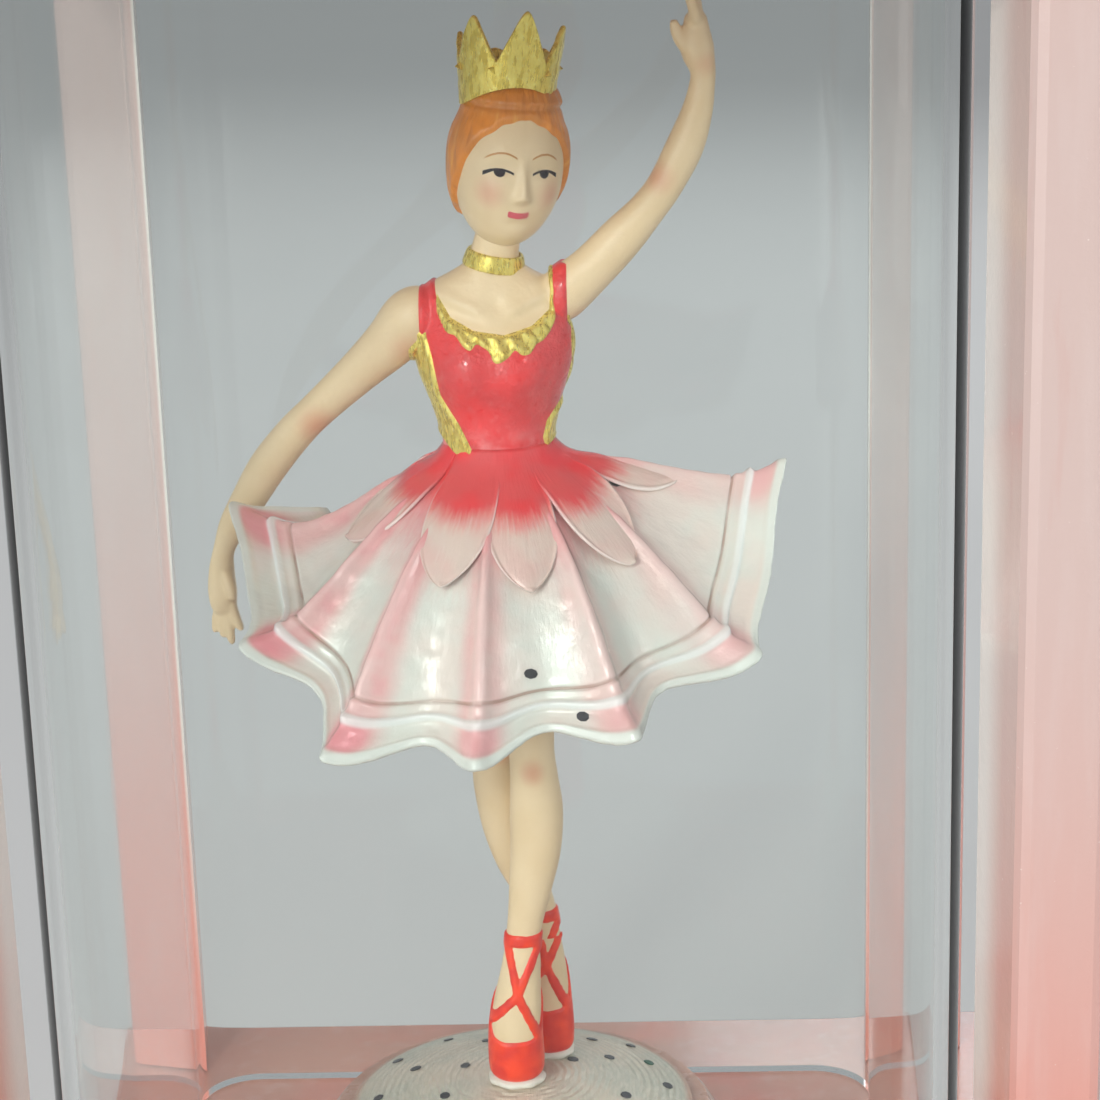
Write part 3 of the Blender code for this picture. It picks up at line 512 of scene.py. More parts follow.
def face_finish():
    """Skin with the face painted on it, drawn in the head's own millimetres."""
    made = Finish("painted_face", (0.78, 0.60, 0.37), 0.42, Coat_Weight=0.12, Coat_Roughness=0.35)
    here = made.place(HEAD, HEAD_TURN)
    x, y, z = made.parts(here)
    front = y.step(-1.0, -2.0)
    out = abs(x)
    wobble = (made.grain(here, 1.7, 2) - 0.5) * 0.14
    cloudy = made.grain(here, 0.25).step(0.35, 0.65)
    tint = made.blend(cloudy * 0.5, (0.80, 0.63, 0.405), (0.755, 0.575, 0.345))
    cheek = made.around(made.point(out, y, z), (3.5, -5.2, -1.8), 2.6)
    tint = made.blend(cheek * 0.70, tint, (0.70, 0.36, 0.25))
    across = out - 2.35
    arch = z - (2.62 - 0.24 * across * across + wobble * 0.6)
    brow = abs(arch).step(0.15, 0.07) * out.step(0.75, 0.95) * out.step(4.25, 3.7)
    tint = made.blend(brow * front * 0.9, tint, (0.50, 0.21, 0.04))
    side = out - 2.55
    lash_top = 0.95 - 0.17 * side * side + wobble * 0.3
    lash_low = lash_top - (0.27 + 0.18 * side.step(0.3, 1.5))
    upper = (lash_top - z).step(-0.04, 0.04)
    lower = (z - lash_low).step(-0.04, 0.04)
    reach = side.step(-1.55, -1.45) * side.step(1.62, 1.52)
    line = upper * lower * reach
    iris = made.around(made.point(side, 0.0, z), (-0.05, 0.0, 0.62), 0.70).step(0.02, 0.12) * upper
    eye = line.most(iris) * front
    tint = made.blend(eye, tint, (0.012, 0.006, 0.014))
    lip_wide = (abs(x + 0.05) - 0.95).most(0.0)
    lip_high = (abs(z + 4.12 - 0.13 * x * x - wobble * 0.5) - 0.14).most(0.0)
    lip = (lip_wide * lip_wide + lip_high * lip_high) ** 0.5
    lips = lip.step(0.25, 0.17) * front
    tint = made.blend(lips, tint, (0.66, 0.10, 0.13))
    made.colour(tint)
    gloss = made.node("MapRange", values={0: eye.most(lips), 3: 0.42, 4: 0.22})
    made.gloss(gloss)
    made.relief(made.grain(here, 1.6, 4) * 0.6 + 0.4 * eye.most(lips).most(brow), 0.05)
    return made


def hair_finish():
    made = Finish("hair_paint", (0.67, 0.27, 0.056), 0.34, Coat_Weight=0.35, Coat_Roughness=0.2)
    here = made.place(HEAD, HEAD_TURN)
    x, y, z = made.parts(here)
    reach = (x * x + y * y) ** 0.5 + 0.01
    combed = made.point(x / reach * 9.0, y / reach * 9.0, z * 0.22)
    strands = made.grain(combed, 1.0, 4, 0.6)
    patches = made.grain(here, 0.28, 3).step(0.38, 0.62)
    tint = made.blend(patches, (0.82, 0.28, 0.030), (0.66, 0.235, 0.035))
    tint = made.blend(strands.step(0.52, 0.72) * 0.55, tint, (0.88, 0.46, 0.10))
    tint = made.blend(strands.step(0.46, 0.30) * 0.45, tint, (0.46, 0.13, 0.02))
    tint = made.blend(z.step(6.3, 7.2) * 0.45, tint, (0.50, 0.17, 0.03))
    made.colour(tint)
    made.gloss(0.28 + 0.2 * patches)
    made.relief(strands, 0.22)
    return made


def gold_finish(name, turn=(0, 0, 0), centre=(0, 0, 0), strokes=(1.4, 1.4, 0.35)):
    """Brushed gold paint, with bright flecks of painted highlight and dark flecks of painted shade."""
    made = Finish(name, (0.70, 0.56, 0.14), 0.34, 0.6)
    here = made.place(centre, turn)
    brushed = made.grain(made.stretch(here, strokes), 1.5, 5, 0.65)
    fine = made.grain(here, 2.6, 4, 0.6)
    tint = made.blend(brushed.step(0.35, 0.62), (0.66, 0.49, 0.08), (0.86, 0.72, 0.19))
    # Bright flecks of painted highlight.
    tint = made.blend(fine.step(0.54, 0.68) * 0.6, tint, (0.96, 0.90, 0.36))
    # Dark flecks of painted shade.
    tint = made.blend(fine.step(0.38, 0.28) * 0.3, tint, (0.42, 0.26, 0.05))
    made.colour(tint)
    made.metal(0.50 + 0.16 * fine)
    made.gloss(0.19 + 0.18 * brushed)
    made.relief(fine * 0.6 + brushed * 0.6, 0.07)
    return made


def red_finish(name="bodice_red"):
    made = Finish(name, (0.70, 0.045, 0.040), 0.26, Coat_Weight=0.8, Coat_Roughness=0.14)
    here = made.place()
    x, y, z = made.parts(here)
    patches = made.grain(here, 0.16, 3).step(0.36, 0.64)
    fine = made.grain(here, 1.1, 5, 0.6)
    tint = made.blend(patches, (0.82, 0.022, 0.026), (0.68, 0.030, 0.034))
    pearl = fine.step(0.50, 0.74) * 0.10
    tint = made.blend(pearl, tint, (0.86, 0.45, 0.46))
    # Pale pink painted highlight in patches towards the waist.
    wear_and_highlight = z.step(105.5, 101.0) * made.grain(here, 0.35, 4).step(0.40, 0.62)
    tint = made.blend(wear_and_highlight * 0.55, tint, (0.86, 0.36, 0.37))
    made.colour(tint)
    made.gloss(0.20 + 0.20 * fine)
    made.relief(made.grain(here, 2.2, 4, 0.55) + made.grain(here, 0.45, 3) * 1.2, 0.16)
    return made


def combed_net(made, here, count, lengthways):
    """Fine strokes that fan out from the waist."""
    x, y, z = made.parts(here)
    reach = (x * x + y * y) ** 0.5 + 0.01
    fan = made.point(x / reach * count, y / reach * count, (reach - z) * lengthways)
    return made.grain(fan, 1.0, 4, 0.6)


def skirt_finish():
    made = Finish("skirt_pearl", (0.72, 0.66, 0.60), 0.25, 0.12, Coat_Weight=0.55, Coat_Roughness=0.10)
    here = made.place()
    x, y, z = made.parts(here)
    along, rib, under = made.marked("along"), made.marked("rib"), made.marked("under")
    strokes = combed_net(made, here, 44.0, 0.55)
    clouds = made.grain(here, 0.10, 3).step(0.38, 0.62)
    tint = made.blend(clouds * 0.75 + 0.1, (0.78, 0.68, 0.62), (0.70, 0.74, 0.68))
    tint = made.blend(strokes.step(0.55, 0.80) * 0.12, tint, (0.88, 0.86, 0.82))
    leftward = x.step(12.0, -22.0)
    soft = made.grain(here, 0.18, 3).step(0.40, 0.60)
    ridge_pink = rib.step(0.22, 0.70) * (0.30 + 0.44 * leftward) * (0.70 + 0.30 * soft)
    tint = made.blend(ridge_pink * along.step(0.99, 0.94), tint, (0.80, 0.27, 0.29))
    # A paler painted highlight along each fold's ridge.
    crease = rib.step(0.84, 0.95) * 0.45 * along.step(0.98, 0.9)
    tint = made.blend(crease, tint, (0.88, 0.62, 0.60))
    hem = along.step(0.84, 0.90) * along.step(1.0, 0.965)
    edge_pink = rib.step(0.45, 0.85) * hem * (0.35 + 0.35 * leftward)
    tint = made.blend(edge_pink, tint, (0.80, 0.24, 0.28))
    side_pink = z.step(88.0, 97.0) * x.step(-8.0, -20.0) * 0.45
    tint = made.blend(side_pink, tint, (0.80, 0.40, 0.40))
    waist = (along + (strokes - 0.5) * 0.16).step(0.50, 0.12)
    tint = made.blend(waist * 0.85, tint, (0.80, 0.24, 0.26))
    deep = (along + (strokes - 0.5) * 0.06).step(0.24, 0.06)
    tint = made.blend(deep, tint, (0.78, 0.028, 0.032))
    # A thin brown line of painted shade along the groove under the upper tier.
    groove = abs(along - GROOVE).step(0.009, 0.003)
    tint = made.blend(groove * (0.35 + 0.40 * soft), tint, (0.34, 0.20, 0.15))
    # Painted highlight along the raised crest band.
    crest = abs(along - CREST).step(0.024, 0.010)
    tint = made.blend(crest * 0.70, tint, (0.84, 0.88, 0.87))
    rim = along.step(0.965, 0.985)
    tint = made.blend(rim * 0.85, tint, (0.72, 0.76, 0.71))
    # The underside painted darker, as shade under the skirt.
    tint = made.blend(under * 0.6, tint, (0.60, 0.52, 0.47))
    made.colour(tint)
    made.gloss(0.18 + 0.12 * strokes)
    made.relief(strokes * 0.6 + made.grain(here, 0.5, 3) * 0.8, 0.11)
    return made


def petal_finish():
    made = Finish("petal_paint", (0.72, 0.30, 0.28), 0.25, 0.12, Coat_Weight=0.55, Coat_Roughness=0.10)
    here = made.place()
    along, across = made.marked("along"), made.marked("across")
    strokes = combed_net(made, here, 34.0, 0.25)
    soft = made.grain(here, 0.22, 3).step(0.36, 0.64)
    edge = (along + (strokes - 0.5) * 0.16 + across * 0.06).step(0.36, 0.64)
    tint = made.blend(soft, (0.82, 0.028, 0.040), (0.74, 0.075, 0.080))
    pale = made.blend(soft, (0.74, 0.52, 0.47), (0.74, 0.60, 0.53))
    tint = made.blend(edge, tint, pale)
    tint = made.blend(strokes.step(0.54, 0.76) * edge * 0.30, tint, (0.88, 0.80, 0.76))
    # Pale painted highlight along the petals' raised edges.
    tint = made.blend(across.step(0.93, 0.99) * along.step(0.15, 0.4) * 0.55, tint, (0.90, 0.82, 0.80))
    made.colour(tint)
    made.gloss(0.18 + 0.12 * strokes)
    made.relief(strokes * 0.8 + made.grain(here, 0.6, 3) * 0.5, 0.10)
    return made


def shoe_finish():
    made = Finish("shoe_red", (0.90, 0.035, 0.006), 0.36, Coat_Weight=0.25, Coat_Roughness=0.25)
    here = made.place()
    patches = made.grain(here, 0.5, 4).step(0.36, 0.64)
    made.colour(made.blend(patches, (0.92, 0.050, 0.008), (0.74, 0.020, 0.006)))
    made.gloss(0.30 + 0.2 * patches)
    made.relief(made.grain(here, 1.6, 4), 0.10)
    return made


def plaster_finish():
    made = Finish("white_plaster", (0.80, 0.78, 0.70), 0.55)
    here = made.place()
    made.colour(made.blend(made.grain(here, 0.8, 3), (0.86, 0.84, 0.77), (0.70, 0.66, 0.56)))
    made.relief(made.grain(here, 1.5, 4), 0.15)
    return made


def stage_finish():
    made = Finish("stage_pearl", (0.52, 0.45, 0.36), 0.30, Coat_Weight=0.4, Coat_Roughness=0.15)
    here = made.place()
    x, y, z = made.parts(here)
    reach = (x * x + y * y) ** 0.5
    swirl = made.grain(here, 0.30)
    rings = ((reach + swirl * 2.2) * 6.2).sine() * 0.5 + 0.5
    brushed = made.grain(made.stretch(here, (2.6, 0.5, 1)), 1.2, 5, 0.6)
    tint = made.blend(made.grain(here, 0.12, 3).step(0.36, 0.64), (0.62, 0.53, 0.42), (0.50, 0.49, 0.40))
    tint = made.blend(brushed.step(0.42, 0.66) * 0.45, tint, (0.72, 0.66, 0.56))
    tint = made.blend(rings * brushed * 0.12, tint, (0.42, 0.36, 0.27))
    tint = made.blend(made.around(here, (0, -3.5, 24.0), 6.0) * 0.5, tint, (0.78, 0.60, 0.50))
    tint = made.blend(reach.step(19.4, 20.3), tint, (0.50, 0.30, 0.22))
    made.colour(tint)
    made.gloss(0.24 + 0.25 * brushed)
    made.relief(rings * 0.5 + brushed, 0.14)
    return made


def rim_finish():
    made = Finish("stage_rim_blush", (0.50, 0.27, 0.20), 0.28, Coat_Weight=0.5, Coat_Roughness=0.12)
    here = made.place()
    patches = made.grain(here, 0.14, 4).step(0.36, 0.64)
    made.colour(made.blend(patches, (0.56, 0.32, 0.25), (0.46, 0.23, 0.16)))
    made.gloss(0.24 + 0.14 * patches)
    made.relief(made.grain(here, 0.7, 4), 0.10)
    return made


def spangle_finish(name, colour):
    made = Finish(name, colour, 0.26, 0.75)
    here = made.place()
    made.colour(made.blend(made.grain(here, 0.9, 2), colour, tuple(c * 0.55 for c in colour)))
    made.gloss(0.20 + 0.25 * made.grain(here, 1.4, 2))
    made.relief(made.grain(here, 2.4, 2), 0.05)
    return made


# ---------------------------------------------------------------------------- the cabinet's finishes


def lacquer_finish(name, pale, deep, low, high, wear_and_highlight=(0.90, 0.80, 0.74), inner=None):
    """Sprayed lacquer over wood, which goes from deep at the low height to pale at the high one. An inner
    colour is for the faces beside the case."""
    made = Finish(name, pale, 0.24, Coat_Weight=0.6, Coat_Roughness=0.10)
    here = made.place(lift=0)
    x, y, z = made.parts(here)
    clouds = made.grain(made.stretch(here, (1, 1, 0.35)), 0.05, 4)
    level = (z + (clouds - 0.5) * 26.0).step(low, high)
    tint = made.blend(level, deep, pale)
    drift = made.grain(made.stretch(here, (1, 1, 0.12)), 0.45, 4)
    tint = made.blend(drift.step(0.50, 0.72) * 0.10, tint, tuple(0.5 * c + 0.45 for c in pale))
    tint = made.blend(drift.step(0.42, 0.28) * 0.10, tint, tuple(0.72 * c for c in deep))
    if inner:
        tint = made.blend(abs(x).step(49.6, 48.3) * z.step(60, 130) * 0.85, tint, inner)
    specks = made.grain(here, 1.9, 2).step(0.745, 0.775)
    tint = made.blend(specks * 0.45, tint, wear_and_highlight)
    made.colour(tint)
    made.gloss(0.20 + 0.08 * drift)
    made.relief(made.grain(here, 0.55, 3) + 0.3 * made.grain(here, 3.0, 3), 0.06)
    return made


def wood_finish(name="pale_wood"):
    made = Finish(name, (0.62, 0.44, 0.26), 0.55)
    here = made.place(lift=0)
    warp = made.grain(made.stretch(here, (0.02, 0.10, 0.10)), 1.0, 3)
    x, y, z = made.parts(here)
    rings = ((z * 0.9 + y * 0.5 + warp * 26.0) * 1.1).sine() * 0.5 + 0.5
    pores = made.grain(made.stretch(here, (0.12, 2.4, 2.4)), 1.2, 4)
    tint = made.blend(rings, (0.68, 0.50, 0.31), (0.52, 0.345, 0.19))
    made.colour(made.blend(pores.step(0.56, 0.68) * 0.5, tint, (0.34, 0.20, 0.10)))
    made.gloss(0.48 + 0.2 * pores)
    made.relief(pores + rings * 0.3, 0.08)
    return made


def metal_finish(name, bright, dull, roughness, direction, speckled=0.25):
    made = Finish(name, bright, roughness, 1.0)
    here = made.place(lift=0)
    brushed = made.grain(made.stretch(here, direction), 1.0, 4)
    stains = made.grain(here, 0.22, 4).step(0.42, 0.68)
    tint = made.blend(brushed, bright, tuple(c * 0.82 for c in bright))
    made.colour(made.blend(stains * speckled, tint, dull))
    made.gloss(roughness - 0.08 + 0.2 * brushed + 0.16 * stains)
    made.relief(brushed, 0.02)
    return made


def velvet_finish():
    made = Finish("velvet_pile", (0.36, 0.02, 0.05), 0.88, Sheen_Weight=0.8, Sheen_Roughness=0.35)
    made.shader.inputs["Sheen Tint"].default_value = (0.95, 0.45, 0.50, 1)
    here = made.place(lift=0)
    crushed = made.grain(here, 0.10, 4).step(0.35, 0.65)
    pile = made.grain(here, 3.2, 2)
    tint = made.blend(crushed, (0.30, 0.012, 0.035), (0.52, 0.045, 0.09))
    made.colour(made.blend(pile.step(0.5, 0.75) * 0.5, tint, (0.66, 0.12, 0.17)))
    made.relief(pile + crushed * 0.6, 0.22)
    return made


def acrylic_finish():
    """Clear plastic that bends light, while the lights still shine through it."""
    made = Finish("clear_acrylic", (0.95, 0.975, 0.965), 0.03, Transmission_Weight=1.0, IOR=1.36)
    here = made.place(lift=0)
    smudges = made.grain(made.stretch(here, (1, 1, 0.6)), 0.12, 4).step(0.60, 0.78)
    made.gloss(0.015 + 0.05 * smudges)
    clear = made.node("BsdfTransparent", values={0: (0.93, 0.96, 0.95)})
    shadow = made.node("LightPath", out=1)
    mixed = made.node("MixShader", values={0: shadow})
    made.tree.links.new(made.shader.outputs[0], mixed.socket.node.inputs[1])
    made.tree.links.new(clear.socket, mixed.socket.node.inputs[2])
    made.tree.links.new(mixed.socket, made.output.inputs["Surface"])
    return made


def floor_finish():
    made = Finish("pale_floor", (0.80, 0.79, 0.77), 0.6)
    here = made.place(lift=0)
    made.colour(made.blend(made.grain(here, 0.01, 3), (0.80, 0.79, 0.77), (0.76, 0.755, 0.74)))
    return made


# ---------------------------------------------------------------------------- head, hair and crown

HAIRLINE = [
    (0, 6.1), (12, 5.9), (25, 5.3), (38, 4.5), (50, 3.4), (60, 2.0),
    (68, 0.4), (76, -1.0), (86, -2.6), (100, -4.2), (120, -5.4), (180, -6.0),
]
NOSE = [
    (-3.1, 0), (-2.65, 0.50), (-2.15, 1.10), (-1.5, 0.98), (-0.5, 0.62), (0.6, 0.36), (1.8, 0.14), (3.2, 0),
]
NOSE_WIDTH = [(-3.1, 0.62), (-2.2, 0.78), (-1.2, 0.58), (1.0, 0.46), (3.2, 0.9)]
HEAD_WIDTH = [
    (-8.2, 5.7), (-5.0, 5.75), (-3.4, 5.85), (-1.6, 5.95), (0, 6.0), (1.9, 6.1), (3.6, 6.1), (6.0, 5.65),
    (8.0, 5.6), (12.5, 5.2),
]
HEAD_DEPTH = [(-8.2, 6.0), (-3.4, 6.4), (0, 6.6), (3.6, 6.7), (6.0, 6.4), (8.0, 6.2), (12.5, 5.8)]


def head_point(way):
    """A point of the bare head in its own frame, a given way from its middle. The face is at -Y."""
    z = way.z * (12.5 if way.z > 0 else 8.2)
    x, y = way.x * flow(z, HEAD_WIDTH), way.y * flow(z, HEAD_DEPTH)
    z = z if z < 8.6 else 8.6 + (z - 8.6) * 0.45
    if y > 0:
        y *= 1 - 0.16 * smooth(-1.0, -7.0, z)
        return Vector((x, y, z))
    front = smooth(0.0, 3.2, -y)
    side = abs(x)
    y *= 0.97
    y -= front * 0.55 * mound((x, 2.0), (z + 6.4, 1.5))
    y -= front * flow(z, NOSE) * math.exp(-((x / flow(z, NOSE_WIDTH)) ** 2))
    y -= front * 0.22 * mound((side - 0.62, 0.26), (z + 2.35, 0.30))
    y += front * 0.42 * mound((side - 2.3, 1.5), (z - 0.75, 1.0))
    y -= front * 0.12 * mound((side - 2.3, 1.1), (z - 0.1, 0.55))
    y -= front * 0.14 * mound((side - 2.4, 2.0), (z - 2.5, 0.8))
    y -= front * 0.26 * mound((x, 1.25), (z + 3.95, 0.75))
    y += front * 0.16 * mound((x, 1.3), (z + 5.10, 0.42))
    y -= front * 0.28 * mound((side - 3.1, 1.7), (z + 2.0, 1.8))
    return Vector((x, y, z))


def build_head():
    bm = bmesh.new()
    bmesh.ops.create_uvsphere(bm, u_segments=216, v_segments=150, radius=1.0)
    for vert in bm.verts:
        vert.co = head_point(vert.co.normalized())
    bm.normal_update()

    def hair(co, normal):
        around = math.degrees(abs(math.atan2(co.x, -co.y)))
        edge = flow(around, HAIRLINE) + 0.10 * math.sin(around * 0.31) + 0.16 * noise.noise(co * 0.9)
        full = 0.42 + (0.16 + 0.16 * smooth(-2, 3, co.z)) * smooth(40, 85, around)
        full += 0.30 * smooth(7.0, 7.6, co.z) - 0.16 * mound((co.z - 7.1, 0.22))
        combed = noise.noise(Vector((co.x * 1.6, co.y * 1.6, co.z * 0.25)))
        over = co.z - edge
        return min(full + 0.12 * combed * smooth(0, 1.2, over), over * 0.9)

    cap = coat(bm, hair, -0.26, 0.4)
    for shape in (bm, cap):
        bmesh.ops.transform(shape, matrix=HEAD_FRAME, verts=shape.verts)
    stand(bm, "painted_head", face_finish(), "skin_paint", ["ballerina_head"])
    stand(cap, "combed_hair", hair_finish(), "skin_paint", turned=False)


CROWN_TIPS = [17.3, 15.8, 12.8, 12.4, 14.2, 16.4]
CROWN_MIDDLE = -0.7


def crown_top(turn):
    """The height of the crown's edge. Turn 0 is over the face; the six points are 60 degrees apart."""
    step = math.radians(60)
    k = round(turn / step)
    away = abs(turn - k * step) / (step / 2)
    sharp = (math.sqrt(away**2 + 0.030) - 0.173) / (math.sqrt(1.030) - 0.173)
    valley = 11.7 + 0.25 * math.cos(turn)
    return valley + (CROWN_TIPS[k % 6] - valley) * max(0.0, 1 - sharp) ** 1.12


def build_crown():
    low, wall = 7.9, 0.62

    def shape(across, up):
        turn = 2 * math.pi * across
        top = crown_top(turn)
        bottom = low - 0.9 + 2.5 * max(0.0, math.cos(turn)) ** 1.5
        if up < 0.44:
            z, depth = bottom + (top - bottom) * up / 0.44, 0.0
        elif up < 0.56:
            arc = math.pi * (up - 0.44) / 0.12
            z, depth = top + 0.5 * wall * math.sin(arc), wall * (1 - math.cos(arc)) / 2
        else:
            z, depth = top + (bottom - top) * (up - 0.56) / 0.44, wall
        share = (z - low) / 9.0
        lumps = noise.noise(Vector((5 * math.sin(turn), 5 * math.cos(turn), z * 0.9)))
        radius = 5.15 + 1.0 * share + 0.09 * lumps - depth
        return Vector((radius * math.sin(turn) + CROWN_MIDDLE, -radius * math.cos(turn), z))

    bm = woven(432, 76, shape)
    open_edges = [edge for edge in bm.edges if edge.is_boundary]
    bmesh.ops.bridge_loops(bm, edges=open_edges)
    studs = []
    for k in range(6):
        studs.append(cone(
            3, 0.62, 0.05, 0.6, Matrix.Translation((CROWN_MIDDLE, 0, 0)),
            Matrix.Rotation(math.radians(60 * k + (26 if k % 2 else 34)), 4, "Z"),
            Matrix.Translation((0, -5.75, 11.0 + 0.3 * (k % 2))),
            Matrix.Rotation(math.radians(30 * k), 4, "Y"), Matrix.Rotation(math.radians(90), 4, "X"),
        ))
    bm = gathered(bm, *studs)
    bmesh.ops.transform(bm, matrix=HEAD_FRAME, verts=bm.verts)
    gold = gold_finish("crown_gold_paint", HEAD_TURN, HEAD, (1.2, 1.2, 0.30))
    stand(bm, "cast_crown", gold, "crown_gold", ["ballerina_crown"], flat=True)


# ---------------------------------------------------------------------------- body and bodice

HALF_WIDTH = [
    (99.5, 6.0), (101, 5.95), (103.5, 6.10), (107, 7.05), (110.5, 8.25), (113.5, 8.6), (116.5, 8.3),
    (118.6, 7.9), (120.0, 6.7), (121.1, 4.6), (122.2, 3.1), (124, 2.65), (127.5, 2.6),
]
HALF_DEPTH = [
    (99.5, 5.2), (101, 5.05), (103.5, 4.95), (107, 5.1), (110.5, 5.2), (113.5, 4.9), (116.5, 4.4),
    (118.6, 3.9), (120, 3.4), (121.1, 3.0), (122.2, 2.75), (124, 2.6), (127.5, 2.6),
]
MIDDLE_X = [(99.5, -0.1), (110, -0.15), (118, -0.35), (121, -0.3), (122.2, -0.1), (124, 0.3), (127.5, 1.3)]
MIDDLE_Y = [(99.5, 0.0), (110, 0.0), (118, 0.25), (121, 0.4), (124, 0.3), (127.5, -0.2)]
LOWERED_ARM = [
    (-6.0, 0.0, 117.2, 2.6), (-8.9, 0.0, 116.2, 3.45), (-11.9, 0.6, 113.2, 2.95), (-15.7, 1.5, 109.7, 2.42),
    (-20.4, 2.6, 105.4, 2.10), (-23.5, 3.6, 102.3, 2.16), (-26.8, 5.0, 98.2, 2.22), (-29.4, 6.3, 94.1, 2.02),
    (-31.6, 7.5, 90.5, 1.70), (-32.9, 8.0, 87.6, 1.28), (-33.4, 8.4, 85.0, 1.50), (-33.5, 8.6, 82.0, 1.72),
    (-33.4, 8.6, 79.6, 1.35),
]
RAISED_ARM = [
    (5.4, 0.2, 116.6, 2.6), (7.6, 0.0, 118.5, 2.95), (10.8, 0.0, 121.2, 2.62), (14.2, 0.0, 124.6, 2.45),
    (17.0, 0.0, 127.6, 2.06), (19.0, 0.0, 130.2, 1.98), (21.2, 0.0, 134.3, 2.08), (22.6, 0.0, 138.1, 1.72),
    (23.2, 0.0, 141.0, 1.42), (23.3, 0.0, 142.6, 1.42), (22.7, 0.0, 145.0, 1.85), (22.6, 0.0, 147.4, 1.42),
    (22.6, 0.0, 148.8, 1.10),
]
FINGERS = [
    [(-33.6, 8.9, 81.0, 0.8), (-34.4, 9.2, 79.0, 0.66), (-34.8, 9.3, 76.9, 0.46)],
    [(-33.3, 8.6, 81.0, 0.8), (-33.7, 8.7, 78.6, 0.66), (-33.6, 8.5, 76.5, 0.46)],
    [(-33.0, 8.4, 81.0, 0.8), (-32.9, 8.2, 78.4, 0.64), (-32.6, 7.9, 75.8, 0.45)],
    [(-32.8, 8.2, 81.4, 0.8), (-32.1, 7.9, 79.4, 0.62), (-31.3, 7.5, 77.6, 0.44)],
    [(-33.0, 7.7, 85.0, 0.9), (-32.3, 7.0, 83.2, 0.74), (-32.0, 6.7, 81.6, 0.5)],
    [(22.7, -1.0, 147.6, 0.75), (22.0, -1.2, 150.4, 0.62), (20.3, -1.2, 152.6, 0.42)],
    [(22.8, -0.3, 147.8, 0.75), (22.2, -0.4, 151.0, 0.62), (20.2, -0.4, 153.8, 0.42)],
    [(22.8, 0.4, 147.8, 0.75), (22.4, 0.4, 151.0, 0.60), (20.7, 0.4, 153.6, 0.42)],
    [(22.8, 1.0, 147.4, 0.72), (22.5, 1.2, 150.2, 0.56), (21.3, 1.2, 152.4, 0.40)],
    [(21.9, -0.6, 144.8, 0.95), (20.7, -0.8, 146.4, 0.74), (20.1, -1.1, 148.2, 0.50)],
]


def torso_point(across, up):
    z = 99.5 + 28 * up
    turn = 2 * math.pi * across
    wide, deep = math.cos(turn), math.sin(turn)
    boxy = 0.92
    x = flow(z, MIDDLE_X) + flow(z, HALF_WIDTH) * math.copysign(abs(wide) ** boxy, wide)
    y = flow(z, MIDDLE_Y) + flow(z, HALF_DEPTH) * math.copysign(abs(deep) ** boxy, deep)
    front = max(0.0, -deep) ** 0.6
    back = max(0.0, deep) ** 0.6
    y -= front * 1.75 * mound((x + 3.5, 3.0), (z - 110.6, 3.8))
    y -= front * 1.75 * mound((x - 2.7, 3.0), (z - 110.3, 3.8))
    y -= front * 0.55 * mound((x, 7.0), (z - 113.0, 3.2))
    for sign, start in ((-1, -1.2), (1, 1.6)):
        away = (z - 117.3 - 0.42 * max(0.0, sign * (x - start))) / 0.62
        reach = smooth(-0.6, 0.8, sign * (x - start)) * (1 - smooth(5.0, 7.0, abs(x)))
        y -= front * 0.32 * math.exp(-(away**2)) * reach
        y += front * 0.20 * math.exp(-((away + 1.9) ** 2)) * reach
    y += front * 0.35 * mound((x - 0.2, 0.8), (z - 118.2, 0.8))
    y -= front * 0.25 * mound((x + 0.4, 3.6), (z - 103.6, 2.2))
    y -= back * 0.40 * math.exp(-((x / 0.9) ** 2)) * smooth(101, 106, z) * (1 - smooth(115, 119, z))
    y += back * 0.45 * mound((abs(x) - 3.6, 1.9), (z - 114.5, 2.8))
    return Vector((x, y, z))


def edge_of_neck(x, y, z):
    front = [
        (-6.7, 130), (-6.7, 121.6), (-6.3, 119.0), (-4.9, 116.7), (-2.2, 115.3), (1.2, 114.8), (4.3, 115.6),
        (6.3, 117.2), (6.45, 119.4), (6.1, 121.6), (6.1, 130),
    ]
    back = [(-6.7, 130), (-6.7, 121.0), (-5.6, 118.6), (0, 116.8), (5.4, 118.6), (6.1, 121.0), (6.1, 130)]
    return inside_by(x, z, front if y < 0.2 else back)


def bodice_by(x, y, z):
    """How far a point of the body lies inside the bodice's edges."""
    left = x + 8.25 + 1.1 * (1 - smooth(112.8, 114.4, z))
    right = (8.05 + 0.9 * (1 - smooth(113.6, 115.8, z))) - x
    return min(-edge_of_neck(x, y, z), left, right)


GOLD_LEFT = [
    (-7.5, 115.2), (-6.7, 112.5), (-5.9, 108.3), (-4.0, 105.0), (-2.2, 100.9), (-3.4, 100.7), (-4.8, 101.6),
    (-6.6, 103.7), (-12, 104.0), (-12, 113.8), (-8.8, 114.6),
]
GOLD_RIGHT = [
    (8.15, 116.2), (8.15, 111.4), (7.1, 107.4), (5.3, 105.0), (4.8, 103.0), (5.1, 101.7), (6.1, 102.4),
    (6.8, 103.4), (12, 103.8), (12, 116.0),
]
SCALLOP = [
    (-6.2, 117.4), (-5.2, 115.4), (-4.1, 114.9), (-3.3, 113.9), (-2.5, 113.5), (-1.9, 114.1), (-1.2, 113.8),
    (-0.5, 113.3), (0.0, 112.3), (0.7, 112.2), (1.7, 112.8), (2.3, 113.4), (3.0, 112.9), (3.9, 113.0),
    (4.5, 113.8), (5.3, 114.2), (6.2, 115.3), (6.7, 116.8),
]


